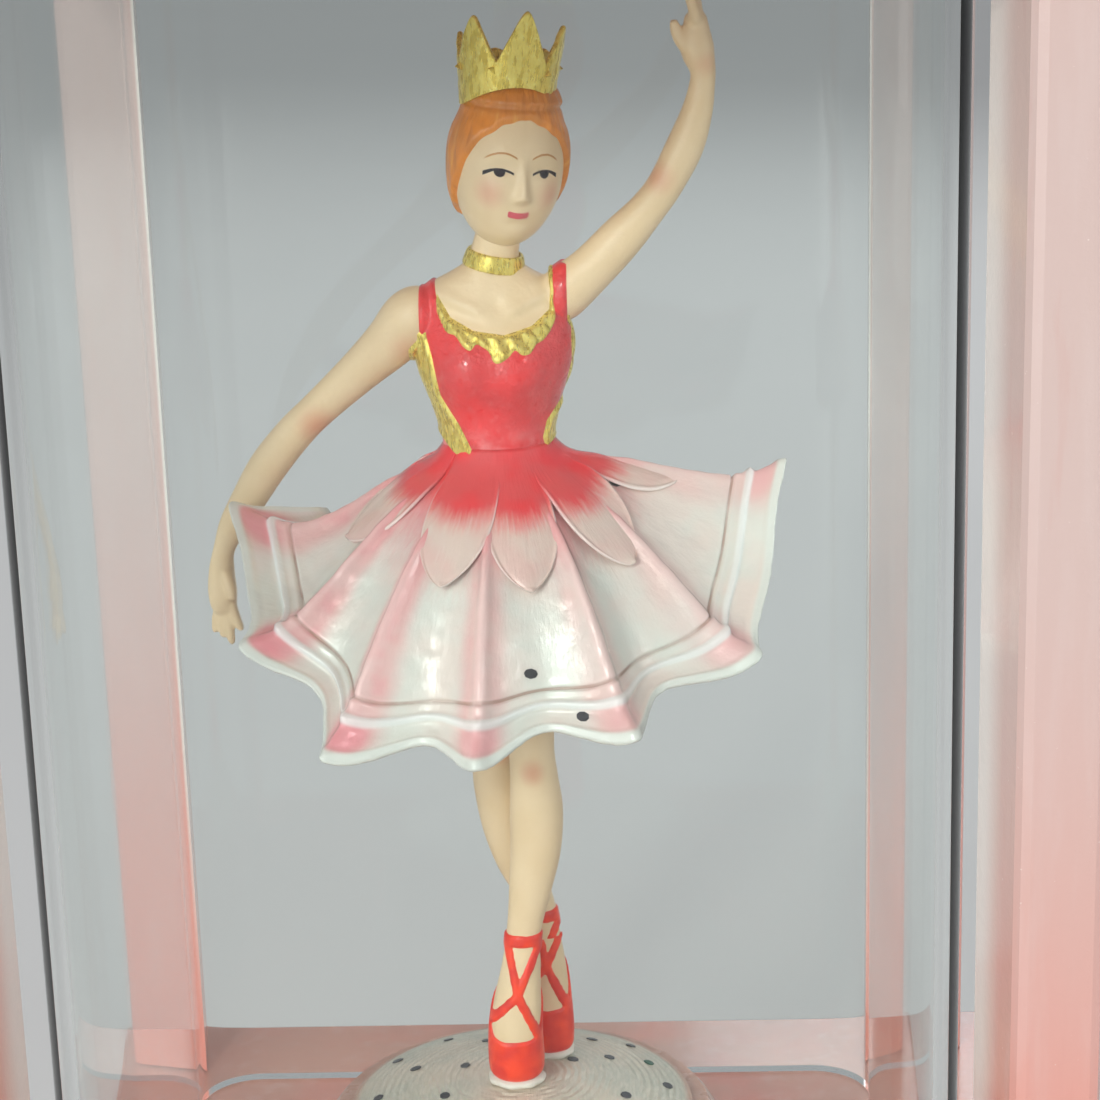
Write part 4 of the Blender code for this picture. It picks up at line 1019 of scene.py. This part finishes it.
def build_body():
    torso = woven(110, 130, torso_point)
    for end in (99.5, 127.5):
        rim = [edge for edge in torso.edges if edge.is_boundary and abs(edge.verts[0].co.z - end) < 0.01]
        bmesh.ops.contextual_create(torso, geom=rim)
    arms = [limb(LOWERED_ARM, flat=0.94), limb(RAISED_ARM, flat=0.94)]
    fingers = [limb(finger, 16, 24) for finger in FINGERS]
    body = fused(gathered(torso, *arms, *fingers), 0.24, 4)

    def on_torso(co):
        return co.z < 122 and -10.5 < co.x < 10.2 and (co.x > -9.3 or co.z < 113.5)

    def bodice(co, normal):
        if not on_torso(co):
            return -1
        return min(0.26, 1.1 * bodice_by(*co))

    def panels(co, normal):
        if not on_torso(co):
            return -1
        rise = -1.0
        for outline in (GOLD_LEFT, GOLD_RIGHT):
            over = inside_by(co.x, co.z, outline)
            cord = 0.16 * mound((over - 0.28, 0.22)) + 0.05 * noise.noise(co * 1.5)
            rise = max(rise, min(0.40 + cord, 0.26 + over * 1.1))
        return min(rise, 0.30 + 1.1 * bodice_by(*co)) if rise > -0.2 else rise

    def trim(co, normal):
        if co.y > 0.2 or not on_torso(co):
            return -1
        lower = next((i for i in range(1, len(SCALLOP)) if co.x <= SCALLOP[i][0]), None)
        if lower is None or co.x < SCALLOP[0][0]:
            return -1
        low = flow(co.x, SCALLOP)
        over = min((co.z - low) * 0.9, -edge_of_neck(*co), co.x + 6.2, 6.7 - co.x)
        puff = 0.10 * noise.noise(co * 1.1) + 0.12 * math.sin((co.x + 0.6 * co.z) * 3.4)
        return min(0.52 + puff, 0.26 + over * 1.2)

    pieces = [
        ("red_bodice", coat(body, bodice), red_finish(), "skin_paint"),
        ("gold_side_panels", coat(body, panels), gold_finish("panel_gold_paint"), "crown_gold"),
        ("scalloped_trim", coat(body, trim), gold_finish("trim_gold_paint"), "crown_gold"),
    ]
    covered = ["ballerina_torso", "ballerina_arm_lowered", "ballerina_arm_raised"]
    stand(body, "painted_body", skin_finish(), "skin_paint", covered)
    for name, shape, finish, slot in pieces:
        stand(shape, name, finish, slot, turned=False)


def build_choker():
    centre = Vector((0.15, 0.35, 122.45))
    lean = Matrix.Rotation(math.radians(11), 3, "Y") @ Matrix.Rotation(math.radians(3), 3, "X")

    def shape(across, up):
        turn, arc = 2 * math.pi * across, 2 * math.pi * up
        tall = math.copysign(abs(math.sin(arc)) ** 0.5, math.sin(arc)) * 0.92
        thick = math.copysign(abs(math.cos(arc)) ** 0.6, math.cos(arc)) * 0.26
        lumps = noise.noise(Vector((math.sin(turn) * 4, math.cos(turn) * 4, tall)))
        flare = 3.12 - 0.24 * tall + 0.05 * lumps
        radius = flare + thick
        return centre + lean @ Vector((radius * math.cos(turn), radius * math.sin(turn) * 0.96, tall))

    stand(woven(160, 28, shape), "gold_choker", gold_finish("choker_gold_paint"), "crown_gold")


# ---------------------------------------------------------------------------- skirt and petals

FALL = [
    (-180, 40), (-140, 40), (-118, 37), (-104, 29), (-90, 23), (-76, 32), (-62, 42), (-38, 53), (-6, 57),
    (28, 54), (62, 45), (78, 28), (92, 14.3), (108, 26), (122, 34), (140, 38), (180, 40),
]
REACH = [
    (-180, 28.5), (-140, 28), (-105, 25.6), (-90, 25.7), (-76, 28.5), (-62, 31), (-38, 36.8), (-6, 35.2),
    (28, 34.4), (62, 32.3), (78, 28.2), (92, 25.4), (110, 25.8), (140, 28), (180, 28.5),
]
SWELL = [
    (-180, 1.4), (-110, 0.2), (-90, 0.0), (-60, 1.2), (-30, 2.2), (20, 2.2), (60, 1.4), (92, 0.2), (120, 0.6),
    (180, 1.4),
]
SAG = [
    (-180, 0.6), (-110, 1.6), (-90, 3.0), (-66, 1.6), (-45, 0.4), (30, 0.1), (66, 0.5), (92, 1.1), (130, 0.8),
    (180, 0.6),
]
LOBES = [-149, -119, -90, -62, -37, -5, 30, 62, 92, 121, 151, 181]
PETALS = [
    (-74, 0.50), (-22, 0.42), (13, 0.455), (55, 0.48), (94, 0.60), (140, 0.42), (185, 0.44), (235, 0.40),
]
GROOVE, CREST = 0.797, 0.868


def skirt_frame(degrees, share):
    """The middle of the skirt's sheet, and the way out of it, at a turn from the front towards +X."""
    turn = (degrees + 180) % 360 - 180
    fall = math.radians(flow(turn, FALL))
    length = flow(turn, REACH) * (1 - 0.17 * mound((turn + 105, 13)))
    start = 1 / math.hypot(math.sin(math.radians(turn)) / 6.10, math.cos(math.radians(turn)) / 5.35)
    rise = flow(turn, SWELL) * math.sin(math.pi * share) - flow(turn, SAG) * 6.75 * share**2 * (1 - share)
    out = start + length * share * math.cos(fall) + rise * math.sin(fall)
    down = length * share * math.sin(fall) - rise * math.cos(fall)
    tuck = max(0.0, 1 - share / 0.13)
    return turn, fall, out - 0.20 * tuck, 100.7 - down + 1.6 * tuck**2.4


def lobe_share(turn):
    """1 on a fold's ridge, falling to 0 halfway to the next one."""
    ends = LOBES + [LOBES[0] + 360]
    turn = turn if turn >= ends[0] else turn + 360
    low = max(k for k in range(len(ends)) if ends[k] <= turn)
    share = (turn - ends[low]) / (ends[low + 1] - ends[low]) if low + 1 < len(ends) else 0.0
    wave = math.sin(math.pi * share)
    return min(1.0, max(0.0, 1 - (math.sqrt(wave * wave + 0.006) - 0.0775) / (math.sqrt(1.006) - 0.0775)))


def skirt_point(degrees, share, depth=0.0):
    turn, fall, out, height = skirt_frame(degrees, share)
    bearing = math.radians(turn)
    rib = lobe_share(turn)
    gather = 3.5 * share**1.1 * (rib - 0.38)
    straight = 0.80 * mound((turn - 77, 13)) + 0.60 * mound((turn + 76, 12))
    shorten = 4.4 * (1 - straight) * (1 - rib) ** 1.3 * share**4.5
    curl = 1.2 * smooth(0.86, 1.0, share)
    bands = 0.62 * mound((share - CREST, 0.017)) - 0.26 * mound((share - GROOVE, 0.006))
    bands += 0.25 * smooth(0.80, 0.815, share)
    bead = 0.36 * smooth(0.955, 0.985, share)
    lumps = 0.10 * noise.noise(Vector((out * math.sin(bearing), out * math.cos(bearing), height)) * 0.6)
    crease = 0.60 * mound((1 - rib, 0.18)) * smooth(0.12, 0.35, share)
    lift = (gather + curl + bands + bead + lumps + crease) * smooth(0.0, 0.10, share) - depth
    out += lift * math.sin(fall) - shorten * math.cos(fall)
    height += lift * math.cos(fall) + shorten * math.sin(fall)
    return Vector((out * math.sin(bearing), -out * math.cos(bearing), height)), rib


def build_skirt():
    wall = 1.0

    def shape(across, up):
        degrees = 360 * across - 180
        under = 0.0
        if up < 0.66:
            part = up / 0.66
            share = part / 0.45 * 0.72 if part < 0.45 else 0.72 + 0.28 * (part - 0.45) / 0.55
            co, rib = skirt_point(degrees, share)
        elif up < 0.74:
            arc = math.pi * (up - 0.66) / 0.08
            outer, rib = skirt_point(degrees, 1.0)
            inner = skirt_point(degrees, 1.0, wall)[0]
            before = skirt_point(degrees, 0.97)[0]
            tip = (outer - before).normalized()
            ragged = (0.5 + 0.12 * noise.noise(outer * 1.3)) * wall
            co = (outer + inner) / 2 + (outer - inner) / 2 * math.cos(arc) + tip * ragged * math.sin(arc)
            share = 1.0
        else:
            share = 1.0 - (up - 0.74) / 0.26
            co, rib = skirt_point(degrees, share, wall)
            under = 1.0
        return co, share, rib, under

    bm = woven(540, 150, shape, ("along", "rib", "under"))
    open_edges = [edge for edge in bm.edges if edge.is_boundary]
    bmesh.ops.bridge_loops(bm, edges=open_edges)
    skirt = BVHTree.FromBMesh(bm)
    stand(bm, "fluted_skirt", skirt_finish(), "pearl_paint", ["ballerina_skirt"])
    petals = []
    for i, (degrees, reach) in enumerate(PETALS):

        def petal(across, up):
            turning = 2 * math.pi * across
            side, top = math.cos(turning), math.sin(turning)
            half = (2.5 + 3.6 * up) * max(0.0, 1 - up**2.8) ** 0.80
            share = reach * up + 0.004
            sideways = math.degrees(side * half / skirt_frame(degrees, share)[2])
            turn, fall, out, height = skirt_frame(degrees + sideways, share)
            edge = max(abs(side), smooth(0.90, 1.0, up))
            lift = 0.66 + 0.22 * (i % 2) - 0.25 * side * side + 0.22 * smooth(0.86, 0.95, edge) + 0.25 * up
            lift = 0.30 + (lift - 0.30) * smooth(0.05, 0.34, up)
            lift += 0.10 * noise.noise(Vector((side * half * 0.4, up * 1.2, i * 3.7)))
            lift += 0.27 * math.copysign(abs(top) ** 0.4, top) - 0.27
            out += lift * math.sin(fall)
            height += lift * math.cos(fall)
            bearing = math.radians(turn)
            return Vector((out * math.sin(bearing), -out * math.cos(bearing), height)), up, abs(side)

        leaf = woven(92, 64, petal, ("along", "across"))
        bmesh.ops.holes_fill(leaf, edges=[edge for edge in leaf.edges if edge.is_boundary], sides=0)
        petals.append(leaf)
    stand(gathered(*petals), "waist_petals", petal_finish(), "pearl_paint")
    return skirt


# ---------------------------------------------------------------------------- legs and shoes

FRONT_LEG = [
    (-0.3, -2.3, 24.9, 2.9), (-0.3, -2.5, 27.0, 3.1), (-0.3, -2.7, 30.9, 3.0), (0.05, -2.8, 34.5, 2.80),
    (0.6, -2.9, 39.0, 2.30), (1.05, -2.9, 43.5, 2.02), (1.9, -2.8, 48.5, 2.45), (2.7, -2.6, 53.6, 2.95),
    (2.95, -2.6, 58.5, 3.10), (2.8, -2.7, 62.5, 2.80), (2.6, -2.6, 66.0, 2.65), (2.4, -2.0, 71.0, 3.05),
    (2.1, -1.4, 77.0, 3.6), (1.5, -0.8, 86.0, 4.1), (0.6, 0.0, 94.0, 4.3), (0.0, 0.2, 99.6, 4.4),
]
REAR_LEG = [
    (3.4, 5.6, 24.0, 2.6), (3.4, 5.7, 27.0, 2.8), (3.2, 5.4, 32.0, 2.75), (3.1, 4.9, 36.0, 2.50),
    (3.0, 4.4, 39.5, 2.15), (2.8, 4.0, 43.0, 1.95), (1.5, 3.6, 47.0, 2.30), (0.3, 3.2, 50.5, 2.70),
    (-0.8, 2.8, 55.0, 2.95), (-1.6, 2.4, 60.0, 2.90), (-1.9, 2.1, 64.0, 2.70), (-2.2, 1.6, 70.0, 2.95),
    (-2.4, 1.1, 80.0, 3.6), (-1.8, 0.6, 90.0, 4.0), (-1.2, 0.4, 97.0, 4.2),
]
THROAT = [(0, 30.2), (40, 30.4), (62, 31.0), (80, 32.5), (100, 35.2), (130, 36.8), (180, 37.2)]
RIBBONS = [[(-0.9, 42.6), (0.2, 36.2), (2.5, 30.6)], [(3.0, 42.6), (0.2, 36.2), (-3.4, 32.4)]]


def spline_by_height(points, height):
    x, y = (flow(height, [(point[2], point[i]) for point in points]) for i in (0, 1))
    return Vector((x, y, height))


def build_legs():
    body = fused(gathered(limb(FRONT_LEG, 48, 140, 0.92), limb(REAR_LEG, 48, 140, 0.92)), 0.21, 3)

    def shoes(co, normal):
        if co.z > 45:
            return -1
        middle_front = spline_by_height(FRONT_LEG, co.z)
        middle_rear = spline_by_height(REAR_LEG, co.z)
        front = (co - middle_front).length < (co - middle_rear).length
        middle, shift = (middle_front, 0.0) if front else (middle_rear, 3.15 if co.z < 40 else 2.2)
        away = co - middle
        around = math.degrees(abs(math.atan2(away.x, -away.y)))
        over = flow(around, THROAT) - co.z + 0.15 * noise.noise(co * 1.1)
        if around < 100:
            x = co.x - shift
            for line in RIBBONS:
                over = max(over, 0.50 - near_line(x, co.z, line) + 0.10 * noise.noise(co * 1.7))
        band = 0.75 - abs(co.z - 42.8) + 0.12 * noise.noise(co * 1.4)
        return min(0.24, 1.1 * max(over, band))

    red = coat(body, shoes)
    stand(body, "painted_legs", skin_finish("leg_skin"), "skin_paint", ["ballerina_legs"])
    stand(red, "ribbon_shoes", shoe_finish(), "skin_paint", turned=False)
    blobs = []
    for x, y, z, wide, deep in ((-0.3, -2.4, 24.5, 3.35, 3.0), (3.4, 5.7, 24.1, 3.0, 2.8)):
        blob = bmesh.new()
        bmesh.ops.create_uvsphere(blob, u_segments=64, v_segments=24, radius=1.0)
        for vert in blob.verts:
            co = vert.co
            swell = 1 + 0.09 * noise.noise(Vector((co.x * 2.2, co.y * 2.2, x)))
            vert.co = Vector((x + co.x * wide * swell, y + co.y * deep * swell, z + co.z * 0.95))
        blobs.append(blob)
    stand(gathered(*blobs), "plaster_feet", plaster_finish(), "pearl_paint")


# ---------------------------------------------------------------------------- stage


def dome_height(reach):
    rise = 24.0 - 19.2 - 0.6
    ball = (20.5**2 + rise**2) / (2 * rise)
    return 24.0 - (ball - math.sqrt(ball**2 - reach**2))


SPANGLES = {
    "silver_spangles": (0.11, 0.11, 0.12),
    "red_spangles": (0.42, 0.05, 0.05),
    "green_spangles": (0.05, 0.16, 0.10),
}
RED_SPOTS, GREEN_SPOTS = (6, 8), (7, 15)
SPOTS = [
    (-16.4, -8.0), (-11.6, -12.6), (-5.0, -9.4), (-8.9, -4.4), (-3.4, -15.2), (2.4, -16.6), (4.6, -10.0),
    (9.4, -10.6), (3.6, -13.2), (12.6, -3.6), (16.6, -8.4), (-17.2, -1.0), (-13.0, 4.4), (-4.6, 10.6),
    (8.4, 12.2), (15.4, 7.0), (-9.6, 14.2), (1.4, 16.4), (17.6, 1.4), (11.4, -15.0), (-9.4, -16.4),
    (6.2, 3.6), (-6.8, 2.4), (10.6, 5.8), (-15.6, 9.4), (13.2, 12.6),
]
SKIRT_SPOTS = [(3.4, 80.4), (8.9, 75.4), (13.0, 101.6)]


def build_stage(skirt):
    def dome(across, up):
        turn = 2 * math.pi * across
        if up < 0.80:
            reach = 20.1 * up / 0.80
            height = dome_height(reach) + 0.035 * math.sin(reach * 7.0 + 1.3 * math.sin(turn * 3))
        elif up < 0.92:
            arc = math.pi * (up - 0.80) / 0.12
            reach = 20.1 + 0.4 * math.sin(arc)
            height = 19.55 + (dome_height(20.1) - 19.55) * (1 + math.cos(arc)) / 2
        else:
            reach, height = 20.1 * (1 - (up - 0.92) / 0.08), 19.25
        return Vector((reach * math.cos(turn), reach * math.sin(turn), height))

    stand(woven(240, 200, dome), "rippled_dome", stage_finish(), "pearl_paint", ["stage_dome"])
    chance = random.Random(7)
    dark = {name: [] for name in SPANGLES}

    def drop(kind, place, facing, turn, *shape):
        """Lays a flat spangle on a surface."""
        flat = facing.to_track_quat("Z", "X").to_matrix()
        spot = cone(*shape[:4], Matrix.Translation(place), flat, Matrix.Rotation(turn, 3, "Z"),
                    Matrix.Diagonal((1.0, shape[4], 1.0)))
        dark[f"{kind}_spangles"].append(spot)

    for i, (x, y) in enumerate(SPOTS):
        kind = "red" if i in RED_SPOTS else "green" if i in GREEN_SPOTS else "silver"
        wide = 0.86 + 0.1 * chance.random()
        place = (x, y, dome_height(math.hypot(x, y)) + 0.08)
        facing = Vector((x, y, 46.0)).normalized()
        drop(kind, place, facing, chance.random() * 3, 6 if i % 3 else 8, 0.74, 0.68, 0.10, wide)
    for x, z in SKIRT_SPOTS:
        aim = (Vector((x, -18.0, z)) - CAMERA).normalized()
        hit, normal, _, _ = skirt.ray_cast(CAMERA, aim)
        if hit is not None:
            facing = normal if normal.dot(aim) < 0 else -normal
            drop("silver", hit + facing * 0.07, facing, 1.4, 8, 0.80, 0.72, 0.12, 0.72)
    for name, shapes in dark.items():
        stand(gathered(*shapes), name, spangle_finish(name, SPANGLES[name]), "steel", flat=True)


# ---------------------------------------------------------------------------- cabinet


def build_case():
    bm = block(*box_of("clear_case"))
    ends = [face for face in bm.faces if abs(face.normal.z) > 0.5]
    bmesh.ops.delete(bm, geom=ends, context="FACES_ONLY")
    upright = [edge for edge in bm.edges if abs(edge.verts[0].co.z - edge.verts[1].co.z) > 1]
    bmesh.ops.bevel(bm, geom=upright, offset=10.0, segments=20, profile=0.5, affect="EDGES", material=-1)
    bmesh.ops.recalc_face_normals(bm, faces=bm.faces)
    bm.normal_update()
    if sum(face.normal.xy.dot(face.calc_center_median().xy) for face in bm.faces) < 0:
        bmesh.ops.reverse_faces(bm, faces=bm.faces)
    bmesh.ops.solidify(bm, geom=list(bm.faces), thickness=2.5)
    set_down(bm, "moulded_case", "cabinet", acrylic_finish(), "clear_case", ["clear_case"], flat=True)


def bead_frame(name, low, high, axis, level, thick, finish, body):
    """A half-round bead that frames a panel. Axis is the one the panel faces, at a level along it."""
    (a0, b0), (a1, b1) = low, high
    bend = 3.0
    corners = []
    for cx, cy, start in ((a1 - bend, b1 - bend, 0), (a0 + bend, b1 - bend, 90), (a0 + bend, b0 + bend, 180),
                          (a1 - bend, b0 + bend, 270)):
        for k in range(9):
            arc = math.radians(start + k * 11.25)
            corners.append(Vector((cx + bend * math.cos(arc), cy + bend * math.sin(arc), 0)))
    path = []
    for corner, after in zip(corners, corners[1:] + corners[:1]):
        steps = max(1, int((after - corner).length / 4.0))
        path += [corner.lerp(after, k / steps) for k in range(steps)]
    rows = len(path)

    def shape(across, up):
        i = int(round(up * rows)) % rows
        ahead = (path[(i + 1) % rows] - path[i - 1]).normalized()
        side = Vector((ahead.y, -ahead.x, 0))
        turn = 2 * math.pi * across
        flat = path[i] + side * thick * math.cos(turn)
        rise = level + thick * 0.8 * math.sin(turn)
        places = {"X": (rise, flat.x, flat.y), "Y": (flat.x, rise, flat.y), "Z": (flat.x, flat.y, rise)}
        return Vector(places[axis])

    set_down(woven(10, rows, shape), name, body, finish, "brass")


PLATE_REACH = [(0, 0.0), (0.5, 4.6), (0.75, 5.6), (0.9, 5.9), (1.0, 5.9)]
PLATE_RISE = [(0, 0.5), (0.5, 0.5), (0.75, 0.45), (0.9, 0.25), (1, 0)]


def build_cabinet_details(gold):
    front_face = box_of("drawer_front")[0].y
    for name, part, axis, side, inset, thick, body in (
        ("drawer_bead", "drawer_front", "Y", 0, 4.2, 0.55, "drawer"),
        ("side_bead_left", "side_panel_left", "X", 0, 4.2, 0.55, "cabinet"),
        ("side_bead_right", "side_panel_right", "X", 1, 4.2, 0.55, "cabinet"),
        ("back_bead", "back_panel", "Y", 1, 4.2, 0.55, "cabinet"),
        ("roof_bead", "roof_cap", "Z", 1, 6, 0.6, "cabinet"),
    ):
        corners = box_of(part)
        level = getattr(corners[side], axis.lower()) - (0.05 if body == "drawer" else 0.0)
        low, high = (
            [value + shift for way, value in zip("XYZ", corner) if way != axis]
            for corner, shift in zip(corners, (inset, -inset))
        )
        bead_frame(name, low, high, axis, level, thick, gold, body)
    low, high = box_of("drawer_knob")
    middle = (low + high) / 2

    def plate(across, up):
        turn = 2 * math.pi * across
        reach = flow(up, PLATE_REACH) * (1 + 0.05 * smooth(0.5, 0.8, up) * math.cos(10 * turn))
        along, rise = reach * math.cos(turn), reach * math.sin(turn)
        return Vector((middle.x + along, front_face - flow(up, PLATE_RISE), middle.z + rise))

    set_down(woven(120, 24, plate), "knob_plate", "drawer", gold, "brass")


def build_movement_details(brass):
    """The pins of the music cylinder, set in 18 rows for the comb's 18 teeth."""
    low, high = box_of("music_cylinder")
    centre_z = (low.z + high.z) / 2
    chance = random.Random(12)
    pins = []
    for row in range(18):
        y = 16.35 + row * 1.03
        for k in sorted(chance.sample(range(28), 11)):
            turn = Matrix.Rotation(2 * math.pi * (k + 0.25) / 28, 4, "Y")
            axle = Matrix.Translation((0, y, centre_z))
            pins.append(cone(5, 0.14, 0.10, 0.5, axle, turn, Matrix.Translation((0, 0, 6.62))))
    set_down(gathered(*pins), "cylinder_pins", "cylinder", brass, "brass")


def build_cushion(velvet):
    """The drawer's lining, in metres. Cloth under pressure puffs it up, and seams draw it in."""
    low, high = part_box("drawer_cushion")
    inset, most_puff, seam_width, rim = 0.0012, 0.0015, 0.0016, 0.0001
    bm = block(low + Vector((inset, inset, 0.0004)), high - Vector((inset, inset, 0.0022)))
    bmesh.ops.bevel(bm, geom=bm.edges, offset=0.0012, segments=3, profile=0.5, affect="EDGES", material=-1)
    flat = melted(bm, 0.0012)
    pad = bpy.data.objects.new("velvet_pad", flat)
    bpy.context.scene.collection.objects.link(pad)
    rest = [vert.co.copy() for vert in flat.vertices]
    puffed = rest
    cloth = pad.modifiers.new("puff", "CLOTH")
    cloth.settings.use_pressure = True
    cloth.settings.uniform_pressure_force = 4
    cloth.settings.effector_weights.gravity = 0
    cloth.settings.quality = 6
    cloth.point_cache.frame_start = 1
    cloth.point_cache.frame_end = 20
    for number in range(1, 21):
        bpy.context.scene.frame_set(number)
    graph = bpy.context.evaluated_depsgraph_get()
    blown = bpy.data.meshes.new_from_object(pad.evaluated_get(graph))
    puffed = [vert.co.copy() for vert in blown.vertices]
    pad.modifiers.clear()
    bpy.data.meshes.remove(blown)
    bpy.context.scene.frame_set(1)
    middle = (low + high) / 2
    half = (high - low) / 2
    for vert, before, after in zip(flat.vertices, rest, puffed):
        shift = after - before
        if shift.length > most_puff:
            shift = shift.normalized() * most_puff
        co = before + shift
        if co.z > middle.z - 0.001:
            u, v = (co.x - middle.x) / half.x, (co.y - middle.y) / half.y
            seams = sum(math.exp(-(((co.x - middle.x - x) / seam_width) ** 2)) for x in (-0.026, 0.0, 0.026))
            co.z += 0.0022 * max(0.0, 1 - abs(u) ** 6) * max(0.0, 1 - abs(v) ** 4) - 0.0016 * seams
        vert.co = [min(top - rim, max(bottom + rim, at)) for at, bottom, top in zip(co, low, high)]
    finer = pad.modifiers.new("finer", "SUBSURF")
    finer.levels = 1
    finer.render_levels = 1
    flat.materials.append(velvet.material)
    flat.shade_smooth()
    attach(pad, "drawer")
    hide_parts("drawer_cushion")


def lay_floor():
    bm = bmesh.new()
    bmesh.ops.create_grid(bm, x_segments=8, y_segments=8, size=3.0)
    ground = bpy.data.meshes.new("floor")
    bm.to_mesh(ground)
    bm.free()
    floor = bpy.data.objects.new("floor", ground)
    bpy.context.scene.collection.objects.link(floor)
    ground.materials.append(floor_finish().material)


def finish_nodes():
    """Gives every part of the cabinet and the movement that stays its finish."""
    coral = lacquer_finish("coral_lacquer_coat", (0.70, 0.24, 0.20), (0.60, 0.13, 0.11), 12, 60)
    pale = (0.86, 0.84, 0.80)
    post = lacquer_finish("blush_post_coat", (0.68, 0.52, 0.48), (0.84, 0.27, 0.20), 66, 178, inner=pale)
    top = lacquer_finish("blush_roof_coat", (0.74, 0.56, 0.52), (0.70, 0.42, 0.38), 220, 242)
    deck = lacquer_finish("blush_deck_coat", (0.54, 0.27, 0.21), (0.66, 0.22, 0.17), 58, 67)
    gloss = lacquer_finish("blush_foot_coat", (0.74, 0.50, 0.44), (0.62, 0.30, 0.26), 0, 14)
    rim = rim_finish()
    wood = wood_finish()
    brass = metal_finish("brushed_brass", (0.78, 0.58, 0.25), (0.42, 0.28, 0.12), 0.26, (0.8, 0.8, 5.0))
    steel = metal_finish("brushed_steel", (0.62, 0.63, 0.66), (0.30, 0.29, 0.28), 0.26, (5.0, 0.8, 0.8))
    zinc = metal_finish("cast_zinc", (0.52, 0.53, 0.56), (0.28, 0.28, 0.29), 0.42, (1.6, 1.6, 1.6), 0.5)
    chosen = {
        "plinth_board": coral, "side_panel_left": coral, "side_panel_right": coral, "back_panel": coral,
        "drawer_front": coral, "deck_board": deck, "roof_board": top, "roof_cap": top, "stage_drum": rim,
    }
    by_slot = {
        "coral_lacquer": coral, "blush_lacquer": post, "blush_gloss": gloss, "bare_wood": wood,
        "brass": brass, "steel": steel, "zinc": zinc,
    }
    for part in frame["record"]["subparts"]:
        name = part["node"]
        finish = chosen.get(name) or by_slot.get(part["material_slot"])
        for slot in frame["nodes"][name].material_slots:
            slot.material = finish.material if finish else slot.material
    return brass


bpy.context.scene.view_settings.view_transform = "Standard"
set_camera()
light_studio()
lay_floor()
brass = finish_nodes()
build_head()
build_crown()
build_body()
build_choker()
skirt = build_skirt()
build_legs()
build_stage(skirt)
build_case()
build_cabinet_details(brass)
build_movement_details(brass)
build_cushion(velvet_finish())

bpy.context.view_layer.update()
